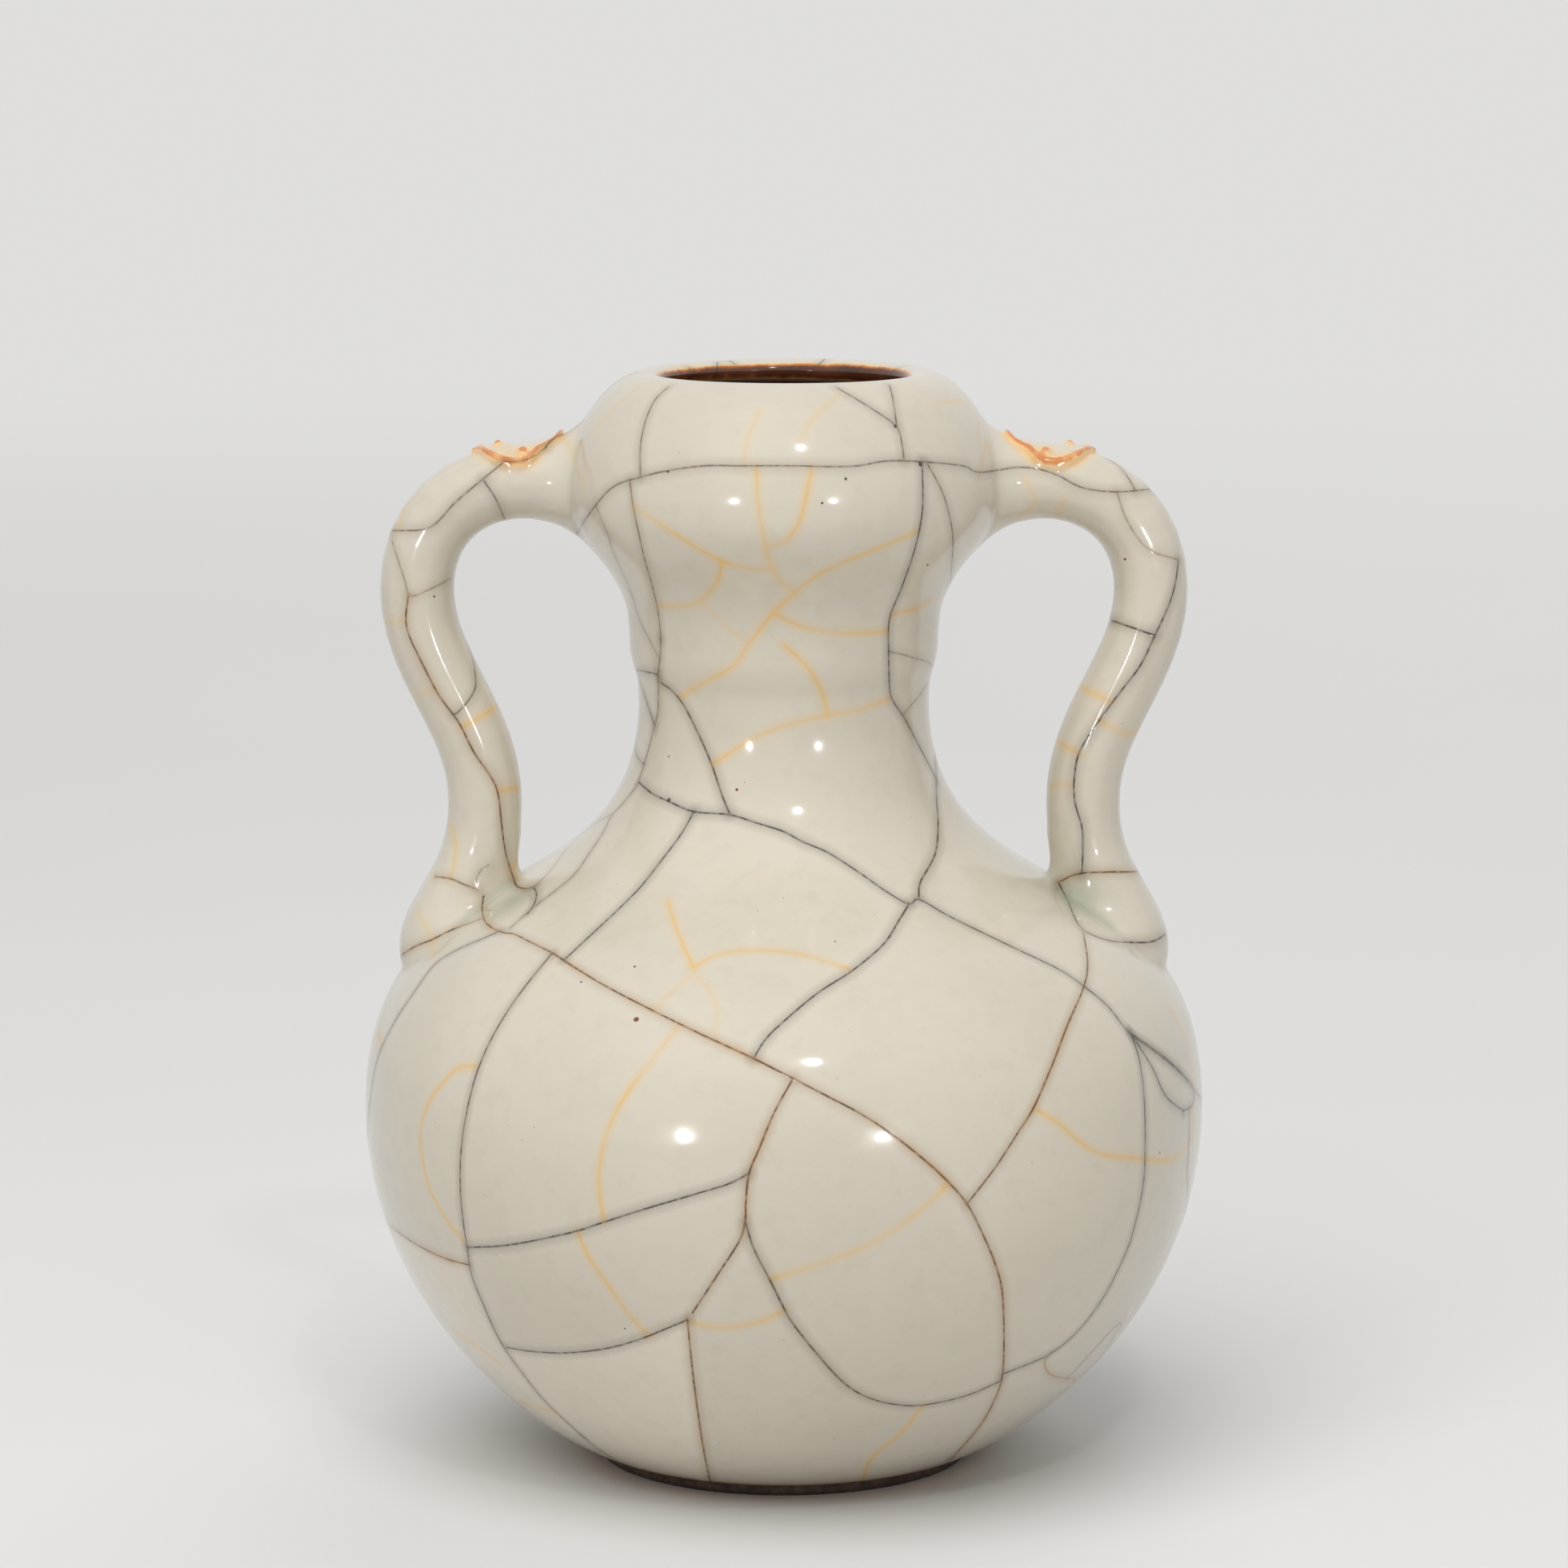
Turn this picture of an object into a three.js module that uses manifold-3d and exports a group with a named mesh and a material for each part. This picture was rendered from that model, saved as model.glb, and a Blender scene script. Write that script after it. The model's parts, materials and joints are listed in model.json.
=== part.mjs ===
// A garlic-mouth vase with two S-shaped handles. Millimetres, +Z up, handles along X, the front towards -Y.
// The origin is the centre of the foot's underside. The vase is thrown in sections that are luted rim to rim,
// on a separate foot ring. Each handle is luted to mouth and shoulder and carries a moulded ruyi sprig.
import * as THREE from "three";
import { mergeVertices } from "three/addons/utils/BufferGeometryUtils.js";
import Module from "manifold-3d";

// Heights, stacked from the foot to the crest of the rim
const footHeight = 2.2;
const bellyRise = 69.9; // foot to the widest girth
const shoulderRise = 82.7; // widest girth to the waist of the neck
const swellRise = 13.9; // waist of the neck to the faint swelling under the mouth
const bulbRise = 27.3; // swelling to the widest part of the mouth bulb
const crownRise = 24; // widest part of the mouth bulb to the crest of the rim
const neckLength = 41; // the neck as thrown, from the shoulder to the mouth bulb

// Radii
const footRadius = 38;
const bellyRadius = 84.5;
const waistRadius = 29.1;
const swell = 1.8; // how far the swelling stands out from the waist
const bulbRadius = 43;
const mouthRadius = 24.5;
const lipRoll = 4.1; // how far the crest of the rim lies outside the mouth

// Walls
const wall = 5;
const floorThickness = 5;
const footWidth = 6.4;
const footBevel = 0.7;
const baseRecess = 1.2; // how far the base is hollowed above the foot ring's seat
const lipDrop = 2.2; // how far the mouth's edge lies below the crest
const lipHold = 0.6; // how far the lip holds level at its crest, as a share of the lip's roll
const lipEdgeHold = 0.3; // and how far it holds upright at the mouth's edge, as a share of its drop

// Fullness of each curve of the outline: how far it holds its direction, as a share of its own rise or width
const undersideHold = 0.153;
const undersideLift = 0.012;
const lowBellyHold = 0.64;
const highBellyHold = 0.64;
const lowNeckHold = 0.557;
const highNeckHold = 0.53;
const swellHold = 0.665;
const bulbFootHold = 0.46;
const lowBulbHold = 0.377;
const highBulbHold = 0.655;
const crestHold = 0.288;

// Handles
const handleThickness = 15; // seen from the front
const handleDepth = 17; // front to back
const armLift = 2; // the upper arm's centre line above the widest part of the mouth bulb
const armSink = 5; // how deep the arm's root starts inside the bulb's widest radius
const armReach = 7.6; // straight run of the arm from the bulb
const bendDrop = 21.5; // arm to the outermost point of the bend
const bendInset = 3.7; // the bend's outer side, inside the belly's radius
const fingerGap = 23.4; // clear space between the neck's waist and the handle's waist
const waistDrop = 64.5; // arm to the handle's waist
const landingRise = 36; // widest girth to where the lower root lands on the shoulder
const rootSink = 12; // run of the lower root past its landing
const rootSlope = 0.45; // sideways run of the lower root for each unit of drop
const landingSink = 1; // the lower root's landing, inside the shoulder's surface
const rootTip = 0.1; // thickness left at the very end of the lower root, as a share of the full thickness

// Fullness of the handle's bends, as shares of the run or the drop that each spans
const armHold = 0.62;
const overBendHold = 0.58; // above the outermost point of the bend
const bendHold = 0.38; // below it
const waistHold = 0.4; // above the handle's waist
const footingHold = 0.45; // below the waist, and sideways at the landing
const landingHold = 0.3;

// Luted roots
const armFlare = 7.2; // how far the arm's root spreads on the bulb, above and below
const armFlareSide = 5; // and to the front and back
const armFlareRun = 15;
const padFlare = 1.6; // how far the lower root spreads on the shoulder, towards the neck and away from it
const padFlareSide = 6; // and to the front and back
const padFlareRun = 22;
const padRound = 8; // rounded end of the lower root
const lutingGap = 0.3; // between pieces whose faces are curved

// Ruyi sprig on each arm
const sprigRelief = 1.7; // thickness of its border above the arm
const sprigField = 0.8; // thickness of the field inside the border
const sprigBorder = 1.5; // width of the border
const sprigLength = 18.6;
const sprigWidth = 14.6;
const sprigSet = 1.2; // clear of the bulb's widest radius
const beadRadius = 1.15;
const beadAngle = 0.5; // side beads, radians from the top of the arm
const beadRun = 8.6; // side beads, from the bulb's widest radius
const topBeadRun = 12.6;

// Facets
const turns = 56; // round the axis
const lipSteps = 5;
const underLipSteps = 4;
const handleSides = 16;
const handleRings = 32;
const ruyiSteps = 6;
const beadSides = 10;
const beadRings = 8;
const sliver = 0.4; // a point of an outline this close to a cut is left out
const weld = 1e-4; // corners this close are one

const bellyZ = footHeight + bellyRise;
const waistZ = bellyZ + shoulderRise;
const swellZ = waistZ + swellRise;
const bulbZ = swellZ + bulbRise;
const rimZ = bulbZ + crownRise;
const neckZ = swellZ - neckLength;
const crestRadius = mouthRadius + lipRoll;
const swellRadius = waistRadius + swell;
const floorZ = footHeight + baseRecess + floorThickness;

const at = (radius, z) => new THREE.Vector2(radius, z);

// A stretch of the outline that leaves and arrives straight up.
function rising(from, to, leaveHold, arriveHold) {
  const rise = to.y - from.y;
  const leaving = at(from.x, from.y + rise * leaveHold);
  const arriving = at(to.x, to.y - rise * arriveHold);
  return new THREE.CubicBezierCurve(from, leaving, arriving, to);
}

const foot = at(footRadius, footHeight);
const girth = at(bellyRadius, bellyZ);
const waist = at(waistRadius, waistZ);
const swelling = at(swellRadius, swellZ);
const bulb = at(bulbRadius, bulbZ);
const crest = at(crestRadius, rimZ);

const underside = new THREE.CubicBezierCurve(
  foot,
  at(footRadius + (bellyRadius - footRadius) * undersideHold, footHeight + bellyRise * undersideLift),
  at(bellyRadius, bellyZ - bellyRise * lowBellyHold),
  girth,
);
const crown = new THREE.CubicBezierCurve(
  bulb,
  at(bulbRadius, bulbZ + crownRise * highBulbHold),
  at(crestRadius + (bulbRadius - crestRadius) * crestHold, rimZ),
  crest,
);
const outline = [
  { curve: underside, steps: 12 },
  { curve: rising(girth, waist, highBellyHold, lowNeckHold), steps: 14 },
  { curve: rising(waist, swelling, highNeckHold, swellHold), steps: 4 },
  { curve: rising(swelling, bulb, bulbFootHold, lowBulbHold), steps: 8 },
  { curve: crown, steps: 8 },
];

// The outline as points from the foot to the crest, moved outwards by an offset (inwards if negative).
// The inside of the walls is plainer, so it takes half the points.
function wallLine(offset) {
  const points = [];
  for (const { curve, steps } of outline) {
    const taken = offset < 0 ? steps / 2 : steps;
    for (let i = points.length ? 1 : 0; i <= taken; i++) {
      const point = curve.getPoint(i / taken);
      const along = curve.getTangent(i / taken);
      points.push(at(point.x + along.y * offset, point.y - along.x * offset));
    }
  }
  return points;
}

// The part of a line that rises from one height to another, with its ends exactly there.
function between(line, low, high) {
  const radiusAt = (z) => {
    const i = line.findIndex((p, k) => k && p.y >= z - weld);
    const [a, b] = [line[i - 1], line[i]];
    return a.x + ((b.x - a.x) * (z - a.y)) / (b.y - a.y);
  };
  const inside = line.filter((p) => p.y > low + sliver && p.y < high - sliver);
  return [at(radiusAt(low), low), ...inside, at(radiusAt(high), high)];
}

const wasm = await Module();
wasm.setup();

// A closed geometry as a solid, with its shared corners merged and its collapsed triangles left out.
function solid(geometry) {
  geometry.deleteAttribute("normal");
  geometry.deleteAttribute("uv");
  const merged = mergeVertices(geometry, weld);
  const corners = merged.index.array;
  const kept = [];
  for (let i = 0; i < corners.length; i += 3) {
    const [a, b, c] = corners.slice(i, i + 3);
    if (a !== b && b !== c && c !== a) kept.push(a, b, c);
  }
  const vertProperties = merged.attributes.position.array;
  return new wasm.Manifold(new wasm.Mesh({ numProp: 3, vertProperties, triVerts: new Uint32Array(kept) }));
}

// A closed profile turned round the vase's axis.
function turned(profile) {
  const lathe = new THREE.LatheGeometry([...profile, profile[0]], turns);
  return solid(lathe.rotateX(Math.PI / 2));
}

// A thrown section between two heights, open at both.
function thrownSection(low, high) {
  const outside = between(wallLine(0), low, high);
  const inside = between(wallLine(-wall), low, high);
  return turned([...outside, ...inside.reverse()]);
}

function footRing() {
  const inner = footRadius - footWidth;
  return turned([
    at(inner + footBevel, 0),
    at(footRadius - footBevel, 0),
    at(footRadius, footBevel),
    at(footRadius, footHeight),
    at(inner, footHeight),
    at(inner, footBevel),
  ]);
}

function lowerBelly() {
  const outside = between(wallLine(0), footHeight, bellyZ);
  const inside = between(wallLine(-wall), floorZ, bellyZ);
  const baseRadius = footRadius - footWidth;
  return turned([
    at(0, footHeight + baseRecess),
    at(baseRadius - baseRecess, footHeight + baseRecess),
    at(baseRadius, footHeight),
    ...outside,
    ...inside.reverse(),
    at(0, floorZ),
  ]);
}

// The mouth bulb, whose rim rolls over its crest and turns down into the mouth.
function garlicMouth() {
  const outside = between(wallLine(0), swellZ, rimZ);
  const inside = between(wallLine(-wall), swellZ, rimZ - wall);
  const edge = at(mouthRadius, rimZ - lipDrop);
  const holdRadius = crestRadius - lipRoll * lipHold;
  const overLip = new THREE.CubicBezierCurve(
    crest,
    at(holdRadius, rimZ),
    at(mouthRadius, rimZ - lipDrop * lipEdgeHold),
    edge,
  );
  const underLip = new THREE.CubicBezierCurve(
    edge,
    at(mouthRadius, rimZ - wall + lipDrop * lipEdgeHold),
    at(holdRadius, rimZ - wall),
    at(crestRadius, rimZ - wall),
  );
  return turned([
    ...outside.slice(0, -1),
    ...overLip.getPoints(lipSteps),
    ...underLip.getPoints(underLipSteps).slice(1, -1),
    ...inside.reverse(),
  ]);
}

// All that is inside the outline above the girth, filled, with room for the slip under what is luted on.
function bodyCore() {
  return turned([at(0, bellyZ), ...between(wallLine(lutingGap), bellyZ, rimZ), at(0, rimZ)]);
}

function shoulderRadius(z) {
  return between(wallLine(0), z, bulbZ)[0].x;
}

// The handle's centre line, in the plane of the two handles.
function handlePath() {
  const armZ = bulbZ + armLift;
  const bendX = bellyRadius - bendInset - handleThickness / 2;
  const waistX = waistRadius + fingerGap + handleThickness / 2;
  const landingZ = bellyZ + landingRise;
  const place = (x, z) => new THREE.Vector3(x, 0, z);
  const start = place(bulbRadius - armSink, armZ);
  const armEnd = place(bulbRadius + armReach, armZ);
  const bend = place(bendX, armZ - bendDrop);
  const narrow = place(waistX, armZ - waistDrop);
  const landing = place(shoulderRadius(landingZ) - landingSink, landingZ);
  const end = place(landing.x + rootSink * rootSlope, landingZ - rootSink);
  const lower = waistDrop - bendDrop;
  const lowest = narrow.z - landingZ;
  const path = new THREE.CurvePath();
  path.add(new THREE.LineCurve3(start, armEnd));
  path.add(
    new THREE.CubicBezierCurve3(
      armEnd,
      place(armEnd.x + (bendX - armEnd.x) * armHold, armZ),
      place(bendX, bend.z + bendDrop * overBendHold),
      bend,
    ),
  );
  path.add(
    new THREE.CubicBezierCurve3(
      bend,
      place(bendX, bend.z - lower * bendHold),
      place(waistX, narrow.z + lower * waistHold),
      narrow,
    ),
  );
  path.add(
    new THREE.CubicBezierCurve3(
      narrow,
      place(waistX, narrow.z - lowest * footingHold),
      place(landing.x - (landing.x - waistX) * footingHold, landingZ + lowest * landingHold),
      landing,
    ),
  );
  path.add(new THREE.LineCurve3(landing, end));
  return path;
}

const path = handlePath();
const pathLength = path.getLength();
const landingAlong = pathLength - Math.hypot(rootSink, rootSink * rootSlope);

// How much of a root's spread is left at some run from it: all of it at the root, none past its reach.
const flare = (run, reach) => THREE.MathUtils.clamp(1 - run / reach, 0, 1) ** 2;

// A point on the handle's skin: how far along the centre line, which way round from the top, how far outside.
function onHandle(along, angle, outside) {
  const share = THREE.MathUtils.clamp(along / pathLength, 0, 1);
  const centre = path.getPointAt(share);
  const direction = path.getTangentAt(share);
  const upward = new THREE.Vector3(-direction.z, 0, direction.x);
  const toLanding = landingAlong - along;
  const toEnd = pathLength - along;
  const intoRound = Math.max(0, 1 - toEnd / padRound);
  const roundedEnd = Math.sqrt(Math.max(rootTip ** 2, 1 - intoRound ** 2));
  const spread = armFlare * flare(along, armFlareRun) + padFlare * flare(toLanding, padFlareRun);
  const sideSpread = armFlareSide * flare(along, armFlareRun) + padFlareSide * flare(toLanding, padFlareRun);
  const half = (handleThickness / 2 + spread) * roundedEnd + outside;
  const halfDepth = (handleDepth / 2 + sideSpread) * roundedEnd + outside;
  const sideways = new THREE.Vector3(0, -halfDepth * Math.sin(angle), 0);
  return centre.addScaledVector(upward, half * Math.cos(angle)).add(sideways);
}

// The handle as a loft of oval rings along its centre line, grown on all sides by a margin.
function handleLoft(margin) {
  const corners = [];
  for (let ring = 0; ring < handleRings; ring++) {
    for (let side = 0; side < handleSides; side++) {
      const along = (pathLength * ring) / (handleRings - 1);
      corners.push(onHandle(along, (2 * Math.PI * side) / handleSides, margin));
    }
  }
  corners.push(path.getPointAt(0), path.getPointAt(1));
  const [first, last] = [corners.length - 2, corners.length - 1];
  const faces = [];
  for (let side = 0; side < handleSides; side++) {
    const next = (side + 1) % handleSides;
    for (let ring = 0; ring < handleRings - 1; ring++) {
      const near = ring * handleSides;
      const far = near + handleSides;
      faces.push(near + side, far + next, far + side, near + side, near + next, far + next);
    }
    const lastRing = (handleRings - 1) * handleSides;
    faces.push(first, next, side, last, lastRing + side, lastRing + next);
  }
  return solid(new THREE.BufferGeometry().setFromPoints(corners).setIndex(faces));
}

// The ruyi outline from above: a pointed tip away from the bulb, a lobe on each side, one towards the bulb.
function ruyiShape(inset) {
  const start = bulbRadius + sprigSet;
  const x = (share) => start + inset + share * (sprigLength - 2 * inset);
  const y = (share) => share * (sprigWidth / 2 - inset);
  const shape = new THREE.Shape();
  shape.moveTo(x(1), 0);
  shape.bezierCurveTo(x(0.88), y(0.1), x(0.86), y(0.62), x(0.68), y(0.86));
  shape.bezierCurveTo(x(0.56), y(1.05), x(0.3), y(1.1), x(0.24), y(0.74));
  shape.bezierCurveTo(x(0.2), y(0.6), x(0), y(0.66), x(0), 0);
  shape.bezierCurveTo(x(0), y(-0.66), x(0.2), y(-0.6), x(0.24), y(-0.74));
  shape.bezierCurveTo(x(0.3), y(-1.1), x(0.56), y(-1.05), x(0.68), y(-0.86));
  shape.bezierCurveTo(x(0.86), y(-0.62), x(0.88), y(-0.1), x(1), 0);
  return shape;
}

// Straight down through the sprig, from above the arm to its centre line.
function ruyiBlock(inset) {
  const reach = handleThickness / 2 + armFlare + sprigRelief;
  const options = { depth: reach, bevelEnabled: false, curveSegments: ruyiSteps };
  const block = new THREE.ExtrudeGeometry(ruyiShape(inset), options);
  return solid(block.translate(0, 0, bulbZ + armLift));
}

function bead(along, angle) {
  const seat = onHandle(along, angle, sprigField);
  return solid(new THREE.SphereGeometry(beadRadius, beadSides, beadRings).translate(seat.x, seat.y, seat.z));
}

const core = bodyCore();

function handle() {
  return handleLoft(0).subtract(core);
}

function ruyiSprig() {
  const field = ruyiBlock(sprigBorder).subtract(handleLoft(sprigField));
  let sprig = ruyiBlock(0).intersect(handleLoft(sprigRelief)).subtract(field);
  const beads = [
    bead(armSink + beadRun, beadAngle),
    bead(armSink + beadRun, -beadAngle),
    bead(armSink + topBeadRun, 0),
  ];
  for (const one of beads) sprig = sprig.add(one);
  return sprig.subtract(handleLoft(lutingGap)).subtract(core);
}

function geometryOf(made) {
  const { vertProperties, triVerts } = made.getMesh();
  const geometry = new THREE.BufferGeometry();
  geometry.setAttribute("position", new THREE.BufferAttribute(vertProperties, 3));
  geometry.setIndex(new THREE.BufferAttribute(triVerts, 1));
  geometry.computeVertexNormals();
  return geometry;
}

const ashGlaze = { color: 0xd3cfc3, roughness: 0.14, metalness: 0 };
const ironFoot = { color: 0x2e211b, roughness: 0.72, metalness: 0 };
const rustyGlaze = { color: 0xdcb48a, roughness: 0.16, metalness: 0 };

const vase = new THREE.Group();

function addPiece(name, made, look) {
  const mesh = new THREE.Mesh(geometryOf(made), new THREE.MeshStandardMaterial(look));
  mesh.name = name;
  vase.add(mesh);
  return mesh;
}

addPiece("foot_ring", footRing(), ironFoot);
addPiece("lower_belly", lowerBelly(), ashGlaze);
addPiece("upper_belly", thrownSection(bellyZ, neckZ), ashGlaze);
addPiece("neck", thrownSection(neckZ, swellZ), ashGlaze);
addPiece("garlic_mouth", garlicMouth(), ashGlaze);

// The handle and its sprig are alike front and back, so a half turn makes the left pair from the right.
const handleSolid = handle();
const sprigSolid = ruyiSprig();
addPiece("right_handle", handleSolid, ashGlaze);
addPiece("right_ruyi_sprig", sprigSolid, rustyGlaze);
addPiece("left_handle", handleSolid, ashGlaze).rotation.z = Math.PI;
addPiece("left_ruyi_sprig", sprigSolid, rustyGlaze).rotation.z = Math.PI;

export default vase;
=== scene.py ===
import json
import math
import random

import bpy
import numpy as np
from bpy.props import FloatProperty, FloatVectorProperty, IntProperty, PointerProperty
from mathutils import Matrix, Vector
from mathutils.bvhtree import BVHTree
from mathutils.kdtree import KDTree

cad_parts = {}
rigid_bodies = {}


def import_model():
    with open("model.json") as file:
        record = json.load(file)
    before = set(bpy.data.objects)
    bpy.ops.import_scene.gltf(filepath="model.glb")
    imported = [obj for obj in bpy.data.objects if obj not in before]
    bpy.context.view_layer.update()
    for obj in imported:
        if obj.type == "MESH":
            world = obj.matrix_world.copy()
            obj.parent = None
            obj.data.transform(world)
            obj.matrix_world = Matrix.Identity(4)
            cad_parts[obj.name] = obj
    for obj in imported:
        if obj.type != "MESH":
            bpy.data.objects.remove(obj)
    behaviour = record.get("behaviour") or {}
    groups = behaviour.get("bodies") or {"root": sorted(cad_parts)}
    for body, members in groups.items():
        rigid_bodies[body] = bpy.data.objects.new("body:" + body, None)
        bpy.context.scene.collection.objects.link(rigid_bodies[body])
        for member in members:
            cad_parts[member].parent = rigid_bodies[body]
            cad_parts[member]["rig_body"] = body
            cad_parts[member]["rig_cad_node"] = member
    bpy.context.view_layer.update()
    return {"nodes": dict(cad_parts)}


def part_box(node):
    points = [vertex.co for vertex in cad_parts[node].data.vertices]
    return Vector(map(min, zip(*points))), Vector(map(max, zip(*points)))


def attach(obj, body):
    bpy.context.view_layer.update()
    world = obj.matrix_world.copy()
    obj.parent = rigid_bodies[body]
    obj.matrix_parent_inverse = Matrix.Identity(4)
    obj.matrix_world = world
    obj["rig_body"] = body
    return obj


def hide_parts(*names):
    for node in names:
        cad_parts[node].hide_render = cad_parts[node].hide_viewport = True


bl_info = {
    "name": "Crackled garlic-mouth vase",
    "version": (1, 0, 0),
    "blender": (4, 5, 0),
    "location": "View3D > Sidebar > Vase",
    "description": "Throws, lutes, glazes and crackles a garlic-mouth vase round its measured frame",
    "category": "Object",
}

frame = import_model()

THROWN = ("lower_belly", "upper_belly", "neck", "garlic_mouth")
SIDES = ("right", "left")
PHOTO_SIDE = 1932  # pixels, for the places below that are read off the photograph

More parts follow.
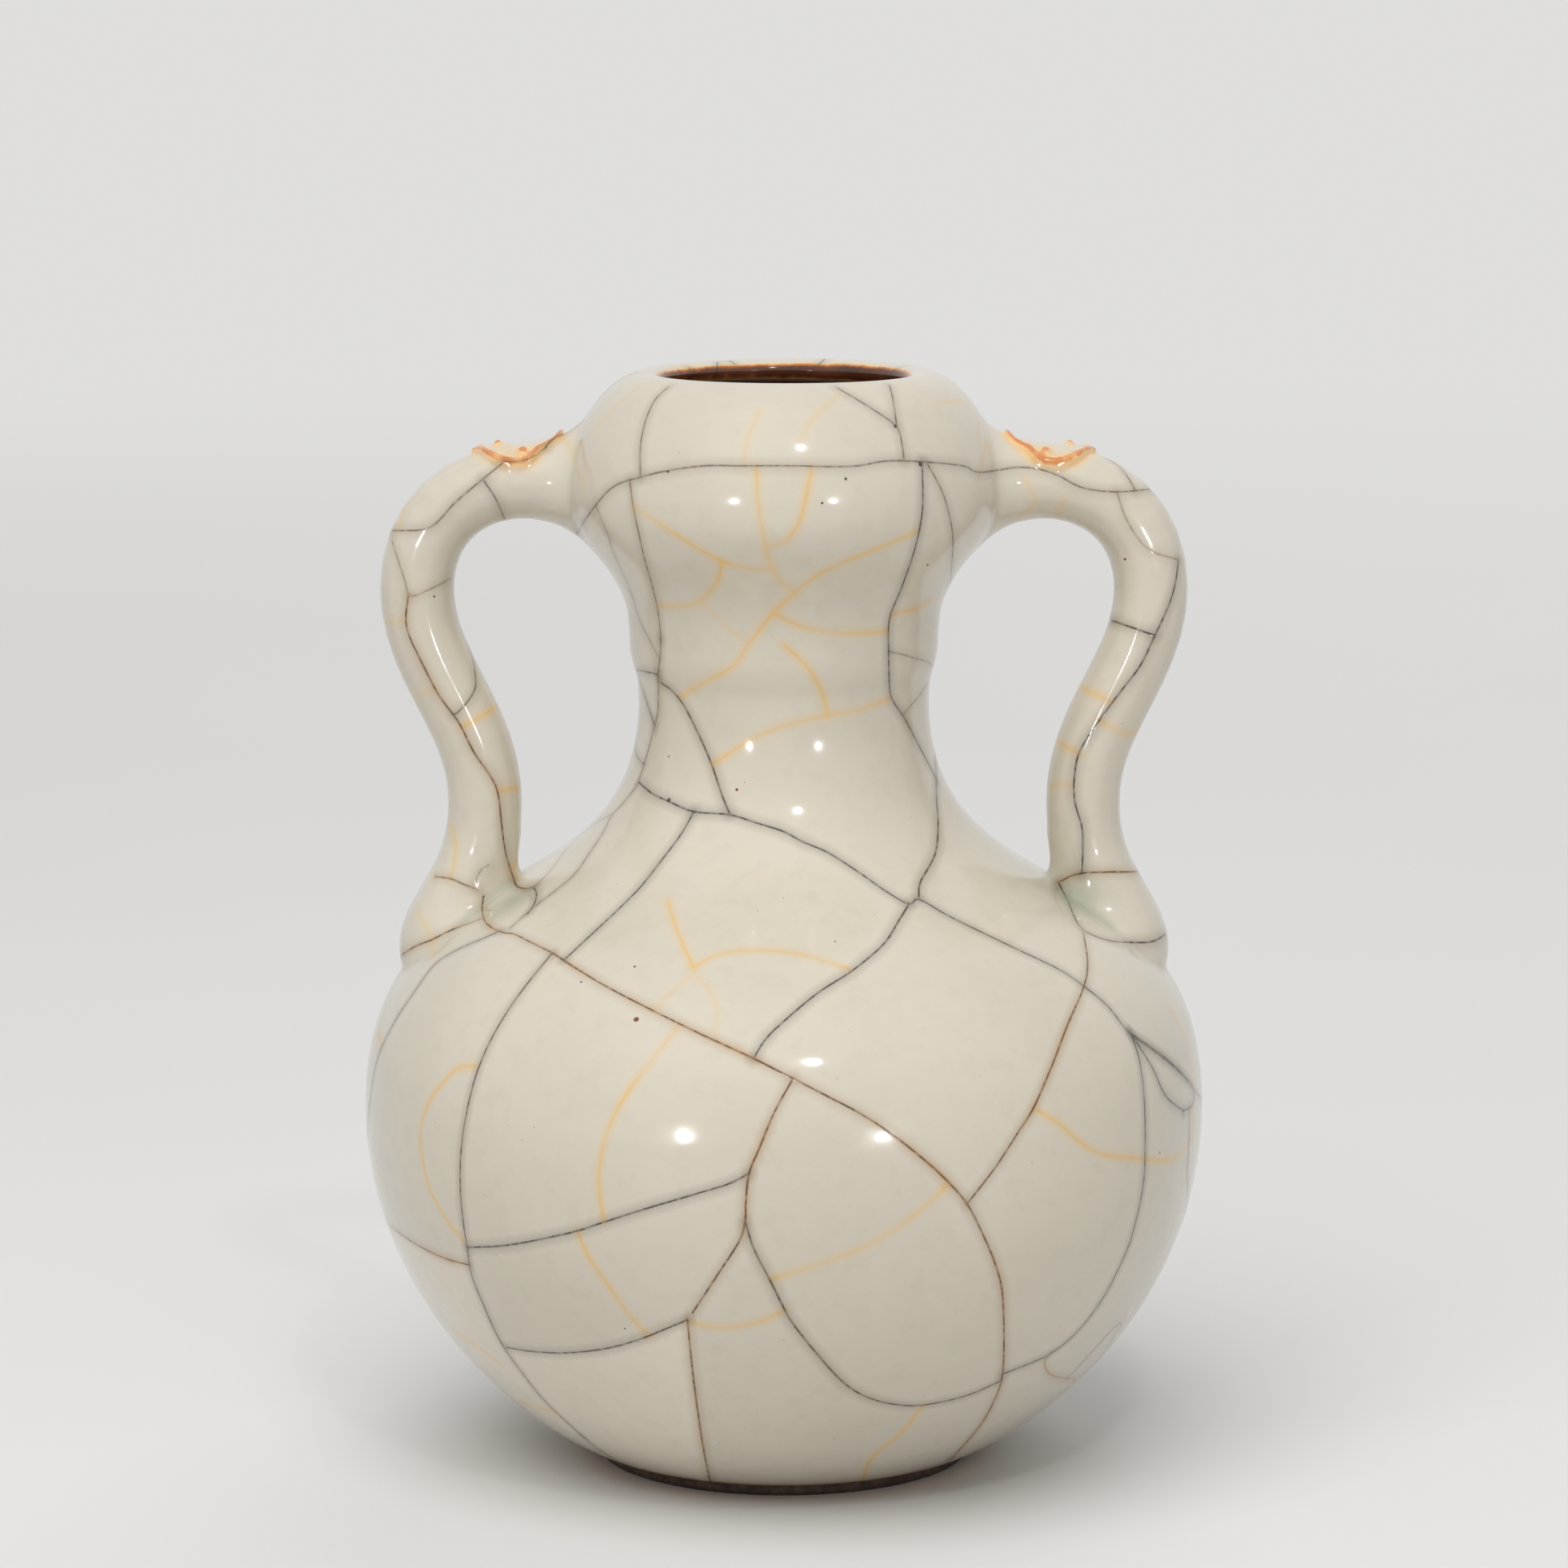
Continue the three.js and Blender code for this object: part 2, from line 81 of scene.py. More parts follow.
# Iron-black cracks, as the photograph shows them from the front. Each is a few places in its pixels.
IRON_LINES = {
    "belt": [(718, 645), (736, 620), (757, 599), (789, 588), (823, 580), (868, 574), (916, 574), (971, 574), (1021, 575),
             (1057, 574), (1093, 568), (1136, 569), (1186, 574), (1207, 582), (1252, 576), (1279, 578), (1304, 586),
             (1334, 601), (1374, 606), (1417, 603)],
    "belt_to_rim": [(823, 477), (807, 493), (795, 520), (789, 552), (789, 588)],
    "neck_left": [(776, 593), (780, 624), (786, 652), (794, 688), (805, 727), (812, 763), (814, 799), (811, 831), (811, 874),
                  (805, 899), (798, 927), (786, 964), (769, 988), (753, 1006), (743, 1026), (727, 1050), (708, 1077),
                  (686, 1096), (660, 1116), (628, 1144)],
    "neck_left_twig": [(779, 734), (789, 766), (811, 809)],
    "neck_left_spur": [(784, 825), (811, 831)],
    "neck_left_tip": [(788, 838), (807, 895)],
    "neck_root": [(814, 841), (829, 852), (843, 870), (857, 897), (875, 937), (889, 978), (899, 1003)],
    "shoulder": [(787, 964), (804, 978), (823, 987), (855, 1000), (899, 1004), (932, 1014), (964, 1024), (989, 1037),
                 (1021, 1051), (1057, 1074), (1093, 1099), (1120, 1114), (1132, 1108), (1166, 1127), (1204, 1146),
                 (1252, 1169), (1304, 1194), (1334, 1214), (1365, 1240), (1392, 1273), (1426, 1298), (1457, 1325),
                 (1481, 1356)],
    "shoulder_left": [(855, 1000), (839, 1028), (815, 1060), (789, 1093), (756, 1126), (728, 1152), (696, 1182)],
    "neck_right": [(1136, 569), (1137, 599), (1136, 634), (1127, 677), (1111, 724), (1096, 763), (1095, 806), (1096, 845),
                   (1100, 863), (1114, 884), (1129, 913), (1146, 945), (1155, 963)],
    "neck_right_outer": [(1143, 572), (1161, 606), (1171, 641), (1174, 670), (1171, 716)],
    "neck_right_leaf": [(1096, 803), (1121, 809), (1150, 822), (1136, 852), (1114, 879)],
    "neck_right_foot": [(1153, 942), (1154, 985), (1156, 1017), (1152, 1053), (1134, 1087), (1132, 1106)],
    "breast": [(1120, 1114), (1107, 1135), (1088, 1164), (1050, 1196), (1007, 1224), (964, 1260), (943, 1281), (928, 1304)],
    "girdle": [(596, 1104), (594, 1120), (597, 1134), (606, 1143), (620, 1149), (634, 1151), (648, 1158), (680, 1174), (708, 1192), (748, 1216), (802, 1244),
               (861, 1273), (928, 1304), (977, 1329), (1020, 1351), (1058, 1371), (1097, 1396), (1140, 1430), (1169, 1457),
               (1192, 1484), (1211, 1521), (1226, 1557), (1235, 1593), (1237, 1657), (1234, 1700), (1223, 1730),
               (1205, 1760), (1172, 1798)],
    "left_flank": [(680, 1175), (656, 1204), (632, 1236), (612, 1268), (596, 1300), (582, 1340), (570, 1400), (567, 1454), (570, 1500),
                   (576, 1539), (581, 1571), (597, 1611), (615, 1650), (637, 1683), (672, 1727), (718, 1770)],
    "left_hip": [(614, 1148), (596, 1156), (564, 1170), (536, 1188), (512, 1220), (488, 1256), (468, 1296), (460, 1328),
                 (455, 1364)],
    "left_root": [(496, 1176), (512, 1166), (532, 1158), (556, 1146), (580, 1137), (596, 1131)],
    "left_root_top": [(536, 1080), (556, 1083), (572, 1090), (588, 1096)],
    "left_root_curl": [(588, 1096), (587, 1083), (593, 1072), (602, 1066)],
    "left_crease": [(633, 1083), (637, 1092), (648, 1095), (657, 1093)],
    "left_crease_turn": [(657, 1093), (661, 1100), (659, 1112), (650, 1126)],
    "left_crease_run": [(659, 1093), (680, 1070), (700, 1044), (728, 1018), (752, 1004)],
    "belly_fork": [(977, 1329), (954, 1371), (936, 1414), (923, 1446), (919, 1482), (918, 1505), (911, 1529), (886, 1568),
                   (853, 1618)],
    "belly_bowl": [(918, 1505), (929, 1539), (948, 1576), (967, 1614), (977, 1631), (1004, 1665), (1040, 1704), (1075, 1724),
                   (1121, 1732), (1162, 1727), (1198, 1717), (1232, 1702)],
    "belly_cross": [(576, 1537), (619, 1535), (661, 1528), (710, 1517), (747, 1505), (797, 1489), (851, 1473), (897, 1459),
                    (923, 1446)],
    "belly_low": [(624, 1660), (654, 1665), (697, 1667), (744, 1662), (783, 1652), (819, 1638), (847, 1626)],
    "belly_drop": [(847, 1625), (851, 1668), (857, 1719), (866, 1781), (874, 1821)],
    "right_breast": [(1192, 1483), (1226, 1439), (1254, 1396), (1274, 1364), (1297, 1311), (1315, 1264), (1335, 1217),
                     (1340, 1187), (1335, 1149)],
    "right_flank": [(1393, 1273), (1404, 1307), (1410, 1357), (1411, 1418), (1408, 1464), (1397, 1514), (1386, 1546),
                    (1361, 1596), (1329, 1639), (1294, 1668), (1251, 1687), (1235, 1693)],
    "right_drop": [(1393, 1273), (1419, 1314), (1436, 1350), (1458, 1369)],
    "right_drop_back": [(1458, 1369), (1469, 1361), (1469, 1339), (1440, 1307), (1393, 1273)],
    "right_low": [(1295, 1666), (1287, 1679), (1295, 1694), (1325, 1700)],
    "left_low": [(481, 1511), (511, 1532), (547, 1550), (579, 1559)],
    "rim_right": [(1030, 477), (1052, 490), (1075, 504), (1104, 525), (1111, 545), (1114, 566)],
    "rim_right_twig": [(1096, 475), (1100, 491), (1105, 525)],
    "left_arm": [(621, 569), (593, 592), (562, 618), (529, 650), (483, 654)],
    "left_bend": [(483, 667), (498, 713), (506, 734), (532, 725), (555, 713)],
    "left_arm_cross": [(596, 592), (611, 615), (624, 645)],
    "left_sprig_cross": [(621, 569), (640, 568), (656, 563), (672, 552)],
    "left_handle_run": [(503, 734), (500, 762), (504, 783), (520, 817), (541, 857), (565, 890), (584, 927), (606, 959),
                        (614, 980), (618, 1015), (622, 1045), (626, 1062), (633, 1083)],
    "right_arm": [(1376, 606), (1389, 642), (1414, 676), (1452, 690)],
    "right_handle_run": [(1452, 690), (1448, 719), (1440, 746), (1423, 783), (1405, 820), (1380, 853), (1353, 890),
                         (1331, 924), (1324, 955), (1324, 986), (1333, 1019), (1334, 1047), (1333, 1076)],
    "right_handle_cross": [(1371, 765), (1423, 783)],
    "right_root_top": [(1304, 1087), (1334, 1076), (1408, 1074)],
    "right_root": [(1304, 1087), (1316, 1111), (1331, 1142), (1359, 1157), (1389, 1161), (1420, 1160), (1440, 1148)],
    "far_rim_left": [(849, 453), (852, 461)],
    "far_rim_middle": [(884, 446), (883, 462)],
    "far_rim_high": [(896, 443), (906, 449)],
    "far_rim_right": [(1017, 442), (1009, 449)],
    "far_rim_low": [(1040, 452), (1053, 458)],
    "far_rim_end": [(1108, 453), (1092, 463)],
}

# Finer golden cracks between them, in the same pixels.
GOLD_LINES = {
    "bulb_sweep": [(780, 624), (818, 649), (857, 674), (889, 691), (921, 700), (950, 701)],
    "bulb_left": [(889, 693), (884, 716), (863, 740), (836, 747), (814, 747)],
    "bulb_middle": [(932, 577), (934, 620), (943, 670), (954, 706), (979, 731)],
    "bulb_inner": [(1000, 577), (993, 613), (984, 645), (968, 666), (945, 674)],
    "neck_sweep": [(1132, 654), (1086, 674), (1039, 693), (1004, 711), (979, 731), (954, 754), (923, 793), (904, 820),
                   (868, 841), (838, 859)],
    "neck_kink": [(863, 740), (893, 770), (923, 793)],
    "neck_right": [(954, 756), (982, 770), (1014, 778), (1057, 780), (1093, 778)],
    "neck_drop": [(966, 795), (993, 820), (1011, 849), (1020, 881)],
    "neck_low": [(1096, 861), (1057, 875), (1018, 882), (971, 893), (936, 906), (904, 925), (879, 941)],
    "crown_middle": [(1037, 484), (1014, 504), (996, 524), (986, 545)],
    "crown_left": [(936, 506), (921, 541), (916, 570)],
    "neck_edge": [(1100, 757), (1129, 750), (1145, 741)],
    "crown_far_left": [(789, 474), (754, 506), (736, 527)],
    "crown_right": [(1148, 497), (1188, 494), (1204, 512), (1208, 554)],
    "right_root_arc": [(1240, 648), (1274, 620), (1262, 590)],
    "right_root_wisp": [(1297, 643), (1313, 614)],
    "left_root_arc": [(692, 538), (705, 556), (712, 581), (720, 592)],
    "shoulder_stem": [(823, 1110), (834, 1146), (854, 1192)],
    "shoulder_arch": [(854, 1192), (886, 1176), (932, 1171), (986, 1176), (1046, 1194)],
    "shoulder_wisp": [(854, 1199), (829, 1221), (805, 1244)],
    "left_root_wisp": [(514, 1124), (530, 1152), (535, 1186)],
    "shoulder_hook": [(857, 1201), (875, 1221), (884, 1249), (880, 1274)],
    "belly_arc": [(836, 1264), (805, 1304), (772, 1348), (751, 1388), (740, 1429), (738, 1464), (744, 1504)],
    "belly_tail": [(711, 1517), (726, 1550), (751, 1586), (779, 1625), (799, 1646)],
    "belly_low": [(849, 1629), (876, 1635), (904, 1635), (940, 1627), (967, 1614)],
    "left_flank": [(586, 1314), (565, 1316), (544, 1336), (526, 1364), (518, 1400), (526, 1454), (544, 1493), (569, 1527)],
    "belly_swag": [(1169, 1459), (1140, 1486), (1104, 1514), (1065, 1536), (1011, 1557), (951, 1576)],
    "right_flank": [(1274, 1366), (1304, 1384), (1333, 1409), (1361, 1423), (1397, 1427), (1433, 1430), (1454, 1423),
                    (1469, 1400), (1470, 1371)],
    "foot_right": [(1137, 1732), (1111, 1765), (1075, 1796), (1063, 1824)],
    "left_low": [(565, 1643), (591, 1661), (614, 1679)],
    "left_handle_high": [(474, 766), (500, 766)],
    "left_handle_middle": [(507, 857), (535, 850)],
    "left_handle_low": [(569, 896), (611, 872)],
    "left_handle_foot": [(617, 974), (646, 970)],
    "right_handle_middle": [(1331, 846), (1368, 864)],
    "right_handle_low": [(1301, 913), (1331, 930)],
}

# Pits and rust spots: a place in the same pixels, a radius, and how rusty it is.
SPECKS = {
    "red": (784, 1256, 0.00055, 1.0),
    "handle": (535, 735, 0.0003, 0.0),
    "bulb": (1042, 590, 0.0004, 0.0),
    "bulb_low": (1013, 620, 0.00032, 0.1),
    "belt": (1134, 572, 0.0006, 0.0),
    "belt_left": (823, 581, 0.00035, 0.1),
    "rim": (1103, 525, 0.00045, 0.0),
    "shoulder": (824, 986, 0.0006, 0.1),
    "shoulder_rust": (908, 973, 0.0003, 0.9),
    "shoulder_ochre": (782, 1191, 0.00026, 0.9),
    "belly_scratch": (716, 1210, 0.0003, 0.0),
    "neck_rust": (1143, 696, 0.0003, 0.8),
    "neck_low": (824, 932, 0.00026, 0.2),
    "breast": (1029, 1160, 0.00022, 0.0),
    "arm": (1386, 689, 0.0003, 0.9),
    "flank": (1429, 1420, 0.0003, 0.5),
    "belly_low": (770, 1637, 0.00028, 0.5),
}

# Where the glaze has pooled between a handle's lower root and the shoulder, and is painted darker there as the shade in
# that crease, in front and so behind as well.
POOLS_AND_CREASE_SHADE = {
    "left_crease": (632, 1110),
    "right_crease": (1318, 1108),
}

# Cracks that only just show.
FAINT = ("crown_middle", "crown_left", "crown_far_left", "crown_right", "shoulder_wisp", "shoulder_hook",
         "neck_kink", "left_root_curl", "left_crease_run", "left_root_wisp", "left_sprig_cross",
         "right_arm", "left_bend", "right_low", "neck_left_twig", "neck_right_leaf", "left_handle_high",
         "left_handle_middle", "right_root_arc", "right_root_wisp", "left_root_arc")

# Iron cracks that are stained rusty orange, and the rest in part.
STAINED = ("girdle", "right_breast", "left_root", "left_root_top", "belly_drop", "belly_fork", "right_root_top",
           "left_low", "right_low", "left_handle_run")

# Iron cracks that are thinner than the rest.
THIN = ("belt", "belt_to_rim", "neck_left", "neck_right_outer", "left_arm", "left_arm_cross", "rim_right",
        "rim_right_twig", "right_arm", "left_root_top", "far_rim_left", "far_rim_middle", "far_rim_high",
        "far_rim_right", "far_rim_low", "far_rim_end")

# One place in each of some cells of the glaze, and how much paler or greyer it is painted than the rest. This is partly
# the glaze's own tone and partly painted light and shade: paler on the crown and the top of the left arm, where the top
# light falls, and greyer on the neck, the shoulder, the flanks and the arm's underside, where shade falls.
CELL_TONES_AND_PAINTED_LIGHT = {
    "crown": (950, 530, 1.0),
    "neck": (960, 850, -0.6),
    "neck_right": (1150, 700, -1.0),
    "shoulder": (950, 1100, -0.9),
    "belly_left": (700, 1400, 0.7),
    "belly_right": (1120, 1300, 0.8),
    "belly_middle": (1060, 1560, 0.1),
    "belly_fork": (760, 1590, -0.1),
    "left_flank": (500, 1420, -0.8),
    "right_flank": (1340, 1520, -0.2),
    "foot": (1010, 1760, -0.3),
    "left_arm": (540, 600, 1.0),
    "left_arm_under": (640, 630, -0.8),
}


class ThrowingSettings(bpy.types.PropertyGroup):
    turns: IntProperty(name="Turns", description="Facets round the vase", default=448, min=64)
    rings: FloatProperty(
        name="Ring spacing", description="Between the rings of the outside", default=0.0009, unit="LENGTH")
    inner_rings: FloatProperty(
        name="Inner ring spacing", description="Between the rings of the inside", default=0.0026, unit="LENGTH")
    unevenness: FloatProperty(
        name="Unevenness", description="How far the thrown wall strays from true", default=0.0005, unit="LENGTH")
    unevenness_size: FloatProperty(
        name="Unevenness size", description="Breadth of each swell of the wall", default=0.055, unit="LENGTH")
    footing: FloatProperty(
        name="Footing", description="Height at the foot that stays true", default=0.012, unit="LENGTH")


class LutingSettings(bpy.types.PropertyGroup):
    handle_grain: FloatProperty(
        name="Handle grain", description="Facet size of the handles' skin", default=0.0005, unit="LENGTH")
    sprig_grain: FloatProperty(
        name="Sprig grain", description="Facet size of the sprigs' skin", default=0.00026, unit="LENGTH")
    seat: FloatProperty(
        name="Seat", description="How far a luted root is pressed into what carries it", default=0.0024, unit="LENGTH")
    sprig_seat: FloatProperty(
        name="Sprig seat", description="How far a sprig is pressed into its arm", default=0.0012, unit="LENGTH")
    sprig_relief: FloatProperty(
        name="Sprig relief", description="Share of a sprig's height that stands clear of the glaze", default=0.9)
    sprig_spread: FloatProperty(
        name="Sprig spread", description="How much broader a sprig is pressed across its arm", default=0.26)
    slip: FloatProperty(
        name="Slip", description="Faces this close to the surface below are luted to it", default=0.0006,
        unit="LENGTH")
    apron: FloatProperty(
        name="Apron", description="Breadth of the skin round a root that is faired in", default=0.012, unit="LENGTH")
    sprig_apron: FloatProperty(
        name="Sprig apron", description="The same round a sprig", default=0.0025, unit="LENGTH")
    sink: FloatProperty(
        name="Sink", description="How deep an apron's edge lies in the surface it runs into", default=0.00005,
        unit="LENGTH")
    fillet: FloatProperty(
        name="Fillet", description="Height up a root that is faired into the surface", default=0.008, unit="LENGTH")
    fillet_passes: IntProperty(name="Fairing passes", description="Strokes of the sponge at a root", default=150)
    smooth_passes: IntProperty(name="Smoothing passes", description="Strokes over a whole handle", default=24)
    sprig_passes: IntProperty(name="Sprig passes", description="Strokes over a whole sprig", default=16)


class CrackleSettings(bpy.types.PropertyGroup):
    seed: IntProperty(name="Seed", description="Draws the cracks that the photograph doesn't show", default=17)
    iron_cell: FloatProperty(
        name="Iron cell", description="Half width of the largest cell without an iron crack", default=0.019,
        unit="LENGTH")
    gold_cell: FloatProperty(
        name="Gold cell", description="Half width of the largest cell without any crack", default=0.0125, unit="LENGTH")
    iron_width: FloatProperty(name="Iron width", description="Of the black line", default=0.00029, unit="LENGTH")
    thin: FloatProperty(name="Thin", description="Strength of the thinner cracks", default=0.72)
    faint: FloatProperty(name="Faint", description="Strength of the cracks that only just show", default=0.45)
    shade_reach: FloatProperty(
        name="Shade reach", description="How far a crack dims the glaze beside it", default=0.0011, unit="LENGTH")
    stain_reach: FloatProperty(
        name="Stain reach", description="How far rust seeps from a crack", default=0.0006, unit="LENGTH")
    gold_reach: FloatProperty(
        name="Gold reach", description="How far a golden line spreads", default=0.00066, unit="LENGTH")
    iron_colour: FloatVectorProperty(
        name="Iron black", description="Core of an iron crack", subtype="COLOR", default=(0.055, 0.047, 0.046))
    stain_colour: FloatVectorProperty(
        name="Iron stain", description="Rust beside an iron crack", subtype="COLOR", default=(0.6, 0.31, 0.085))
    gold_colour: FloatVectorProperty(
        name="Gold thread", description="A golden crack", subtype="COLOR", default=(0.76, 0.48, 0.155))
    cell_tone: FloatProperty(
        name="Cell tone", description="How much the glaze's shade differs between cells", default=0.1)


class GlazeSettings(bpy.types.PropertyGroup):
    ash_colour: FloatVectorProperty(
        name="Ash glaze", description="The pale body glaze", subtype="COLOR", default=(0.665, 0.608, 0.5))
    # Pooled glaze colour, also used as painted shade in the creases and beside the lower roots.
    pooled_glaze_and_shade_colour: FloatVectorProperty(
        name="Pooled glaze", description="Where the glaze lies thick", subtype="COLOR", default=(0.38, 0.4, 0.3))
    rust_colour: FloatVectorProperty(
        name="Rust", description="Where the glaze runs thin over an edge", subtype="COLOR", default=(0.62, 0.19, 0.035))
    amber_colour: FloatVectorProperty(
        name="Amber", description="Round a rusty edge", subtype="COLOR", default=(0.84, 0.53, 0.22))
    glow: FloatProperty(
        name="Amber reach", description="How far the amber spreads from a rusty edge", default=0.0017, unit="LENGTH")
    # Reach of the pooled glaze and painted crease shade beside a lower root.
    pool: FloatProperty(
        name="Pool", description="Reach of the glaze pooled beside a lower root", default=0.0055, unit="LENGTH")
    inner_colour: FloatVectorProperty(
        name="Inner glaze", description="Lustrous brown inside the mouth", subtype="COLOR", default=(0.1, 0.034, 0.016))
    foot_colour: FloatVectorProperty(
        name="Iron foot", description="Bare clay of the foot", subtype="COLOR", default=(0.028, 0.016, 0.011))


class StageSettings(bpy.types.PropertyGroup):
    floor_colour: FloatVectorProperty(
        name="Floor", description="Floor and backdrop", subtype="COLOR", default=(0.7, 0.695, 0.685))
    backdrop_colour: FloatVectorProperty(
        name="Backdrop", description="The board behind, as the camera sees it", subtype="COLOR",
        default=(0.74, 0.735, 0.725))
    camera_distance: FloatProperty(
        name="Camera distance", description="In front of the axis", default=1.188, unit="LENGTH")
    camera_height: FloatProperty(name="Camera height", description="Above the floor", default=0.3275, unit="LENGTH")
    aim_height: FloatProperty(name="Aim", description="Height looked at on the axis", default=0.13685, unit="LENGTH")
    focal_length: FloatProperty(name="Focal length", description="In millimetres on a 36 mm frame", default=137.6)
    top_power: FloatProperty(name="Top light", description="Broad soft light overhead", default=42.0, unit="POWER")
    back_power: FloatProperty(name="Back light", description="Soft light from behind", default=14.0, unit="POWER")
    spot_power: FloatProperty(name="Small lights", description="Each small soft light", default=1.3, unit="POWER")
    surround: FloatProperty(name="Surround", description="Strength of the light from all round", default=0.41)
    fade: FloatVectorProperty(
        name="Fade", description="Where the floor starts and ends to fade into the backdrop", size=2, unit="LENGTH",
        default=(0.45, 2.4))


IRON_LAYERS = 4
GOLD_LAYERS = 2
CRACK_REACH = 0.0026
FAR_OFF = (0.1, 0.1, 0.1)
BROWN_CORE = (0.18, 0.075, 0.022)
RUST_SPOT = (0.32, 0.075, 0.015)


def pick(*objects):
    """Deselects everything, then selects these, the last one active."""
    bpy.ops.object.select_all(action="DESELECT")
    for each in objects:
        each.select_set(True)
    bpy.context.view_layer.objects.active = objects[-1]


def editing(piece, select="DESELECT"):
    pick(piece)
    bpy.ops.object.mode_set(mode="EDIT")
    bpy.ops.mesh.select_mode(type="VERT")
    bpy.ops.mesh.select_all(action=select)


def done_editing():
    bpy.ops.object.mode_set(mode="OBJECT")


def places(piece):
    """The piece's vertices as rows of x, y, z."""
    found = np.zeros(len(piece.data.vertices) * 3)
    piece.data.vertices.foreach_get("co", found)
    return found.reshape(-1, 3)


def normals(piece):
    found = np.zeros(len(piece.data.vertices) * 3)
    piece.data.vertex_normals.foreach_get("vector", found)
    return found.reshape(-1, 3)


def choose_vertices(piece, chosen):
    """Selects vertices by a row of truths. Called in object mode."""
    mesh = piece.data
    mesh.vertices.foreach_set("select", chosen)
    mesh.edges.foreach_set("select", np.zeros(len(mesh.edges), bool))
    mesh.polygons.foreach_set("select", np.zeros(len(mesh.polygons), bool))


def choose_faces(piece, chosen):
    """Selects faces by a row of truths. Called in object mode."""
    mesh = piece.data
    mesh.vertices.foreach_set("select", np.zeros(len(mesh.vertices), bool))
    mesh.edges.foreach_set("select", np.zeros(len(mesh.edges), bool))
    mesh.polygons.foreach_set("select", chosen)


def keep_faces(piece, kept):
    """Deletes every face that isn't kept."""
    editing(piece)
    bpy.ops.mesh.select_mode(type="FACE")
    done_editing()
    choose_faces(piece, ~kept)
    bpy.ops.object.mode_set(mode="EDIT")
    bpy.ops.mesh.delete(type="FACE")
    done_editing()


def use_modifier(piece, kind, **settings):
    pick(piece)
    modifier = piece.modifiers.new(kind.lower(), kind)
    for name, value in settings.items():
        setattr(modifier, name, value)
    bpy.ops.object.modifier_apply(modifier=modifier.name)


def duplicate(source, name):
    pick(source)
    bpy.ops.object.duplicate()
    copy = bpy.context.object
    copy.name = copy.data.name = name
    return copy


def copy_of_node(node, name):
    """A free copy of a CAD node, with its loose triangles merged."""
    copy = duplicate(frame["nodes"][node], name)
    bpy.ops.object.parent_clear(type="CLEAR_KEEP_TRANSFORM")
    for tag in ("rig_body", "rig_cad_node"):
        del copy[tag]
    copy.data.materials.clear()
    editing(copy, "SELECT")
    bpy.ops.mesh.remove_doubles(threshold=1e-6)
    done_editing()
    return copy


def section_links(nodes):
    """Neighbours along the walls of CAD nodes, cut by the half plane in front of the axis, as (radius, height).
    An edge that two of the nodes share is a seam inside the wall, and is left out."""
    counted = {}
    for node in nodes:
        mesh = frame["nodes"][node].data
        cut = {
            v.index: (round(-v.co.y, 6), round(v.co.z, 6))
            for v in mesh.vertices
            if abs(v.co.x) < 1e-6 and v.co.y < 1e-6
        }
        edges = {frozenset((cut[a], cut[b])) for a, b in mesh.edge_keys if a in cut and b in cut}
        for edge in edges:
            if len(edge) == 2:
                counted[edge] = counted.get(edge, 0) + 1
    links = {}
    for edge in (e for e, times in counted.items() if times == 1):
        a, b = edge
        links.setdefault(a, []).append(b)
        links.setdefault(b, []).append(a)
    return links


def walk(links, start):
    """The section's points in order, from a start to the other end or round to the start."""
    line = [start]
    came_from = None
    while True:
        onward = [p for p in links[line[-1]] if p != came_from and p != start]
        came_from = line[-1]
        if not onward:
            return [Vector(p) for p in line]
        line.append(onward[0])


def faired(line, spacing_at, corner=math.radians(30)):
    """A smooth line through the points of another, with its corners kept and all its points on it."""
    turned = [0, *[
        i for i in range(1, len(line) - 1) if (line[i] - line[i - 1]).angle(line[i + 1] - line[i]) > corner
    ], len(line) - 1]
    smooth = [line[0]]
    for first, last in zip(turned, turned[1:]):
        for i in range(first, last):
            a, b = line[i], line[i + 1]
            run = (b - a).length
            leave = arrive = b - a
            if i > first:
                before = (a - line[i - 1]).length
                leave = ((a - line[i - 1]) / before * run + (b - a) / run * before) / (before + run) * run
            if i + 1 < last:
                after = (line[i + 2] - b).length
                arrive = ((b - a) / run * after + (line[i + 2] - b) / after * run) / (after + run) * run
            steps = max(1, round(run / spacing_at(a)))
            for k in range(1, steps + 1):
                t = k / steps
                smooth.append(
                    a * (2 * t**3 - 3 * t**2 + 1)
                    + leave * (t**3 - 2 * t**2 + t)
                    + b * (3 * t**2 - 2 * t**3)
                    + arrive * (t**3 - t**2)
                )
    return smooth


def spun(name, line, turns):
    """Draws a line of (radius, height) in front of the axis, a point at a time, and spins it round."""
    bpy.ops.object.select_all(action="DESELECT")
    bpy.ops.mesh.primitive_plane_add(size=line[0].y or 1)
    piece = bpy.context.object
    piece.name = piece.data.name = name
    editing(piece, "SELECT")
    bpy.ops.mesh.merge(type="CENTER")
    at = Vector((0, 0, 0))
    for point in line:
        there = Vector((0, -point.x, point.y))
        if point is line[0]:
            bpy.ops.transform.translate(value=there - at)
        else:
            bpy.ops.mesh.extrude_region_move(TRANSFORM_OT_translate={"value": there - at})
        at = there
    bpy.ops.mesh.select_all(action="SELECT")
    bpy.ops.mesh.spin(steps=turns, angle=2 * math.pi, center=(0, 0, 0), axis=(0, 0, 1))
    bpy.ops.mesh.select_all(action="SELECT")
    bpy.ops.mesh.remove_doubles(threshold=1e-6)
    bpy.ops.mesh.normals_make_consistent(inside=False)
    done_editing()
    bpy.ops.object.shade_smooth()
    return piece


def face_centres(piece):
    found = np.zeros(len(piece.data.polygons) * 3)
    piece.data.polygons.foreach_get("center", found)
    return found.reshape(-1, 3)


def face_normals(piece):
    found = np.zeros(len(piece.data.polygons) * 3)
    piece.data.polygons.foreach_get("normal", found)
    return found.reshape(-1, 3)


def ramp(value, low, high):
    """0 at low, 1 at high, and a smooth rise between them."""
    share = np.clip((value - low) / (high - low), 0, 1)
    return share * share * (3 - 2 * share)


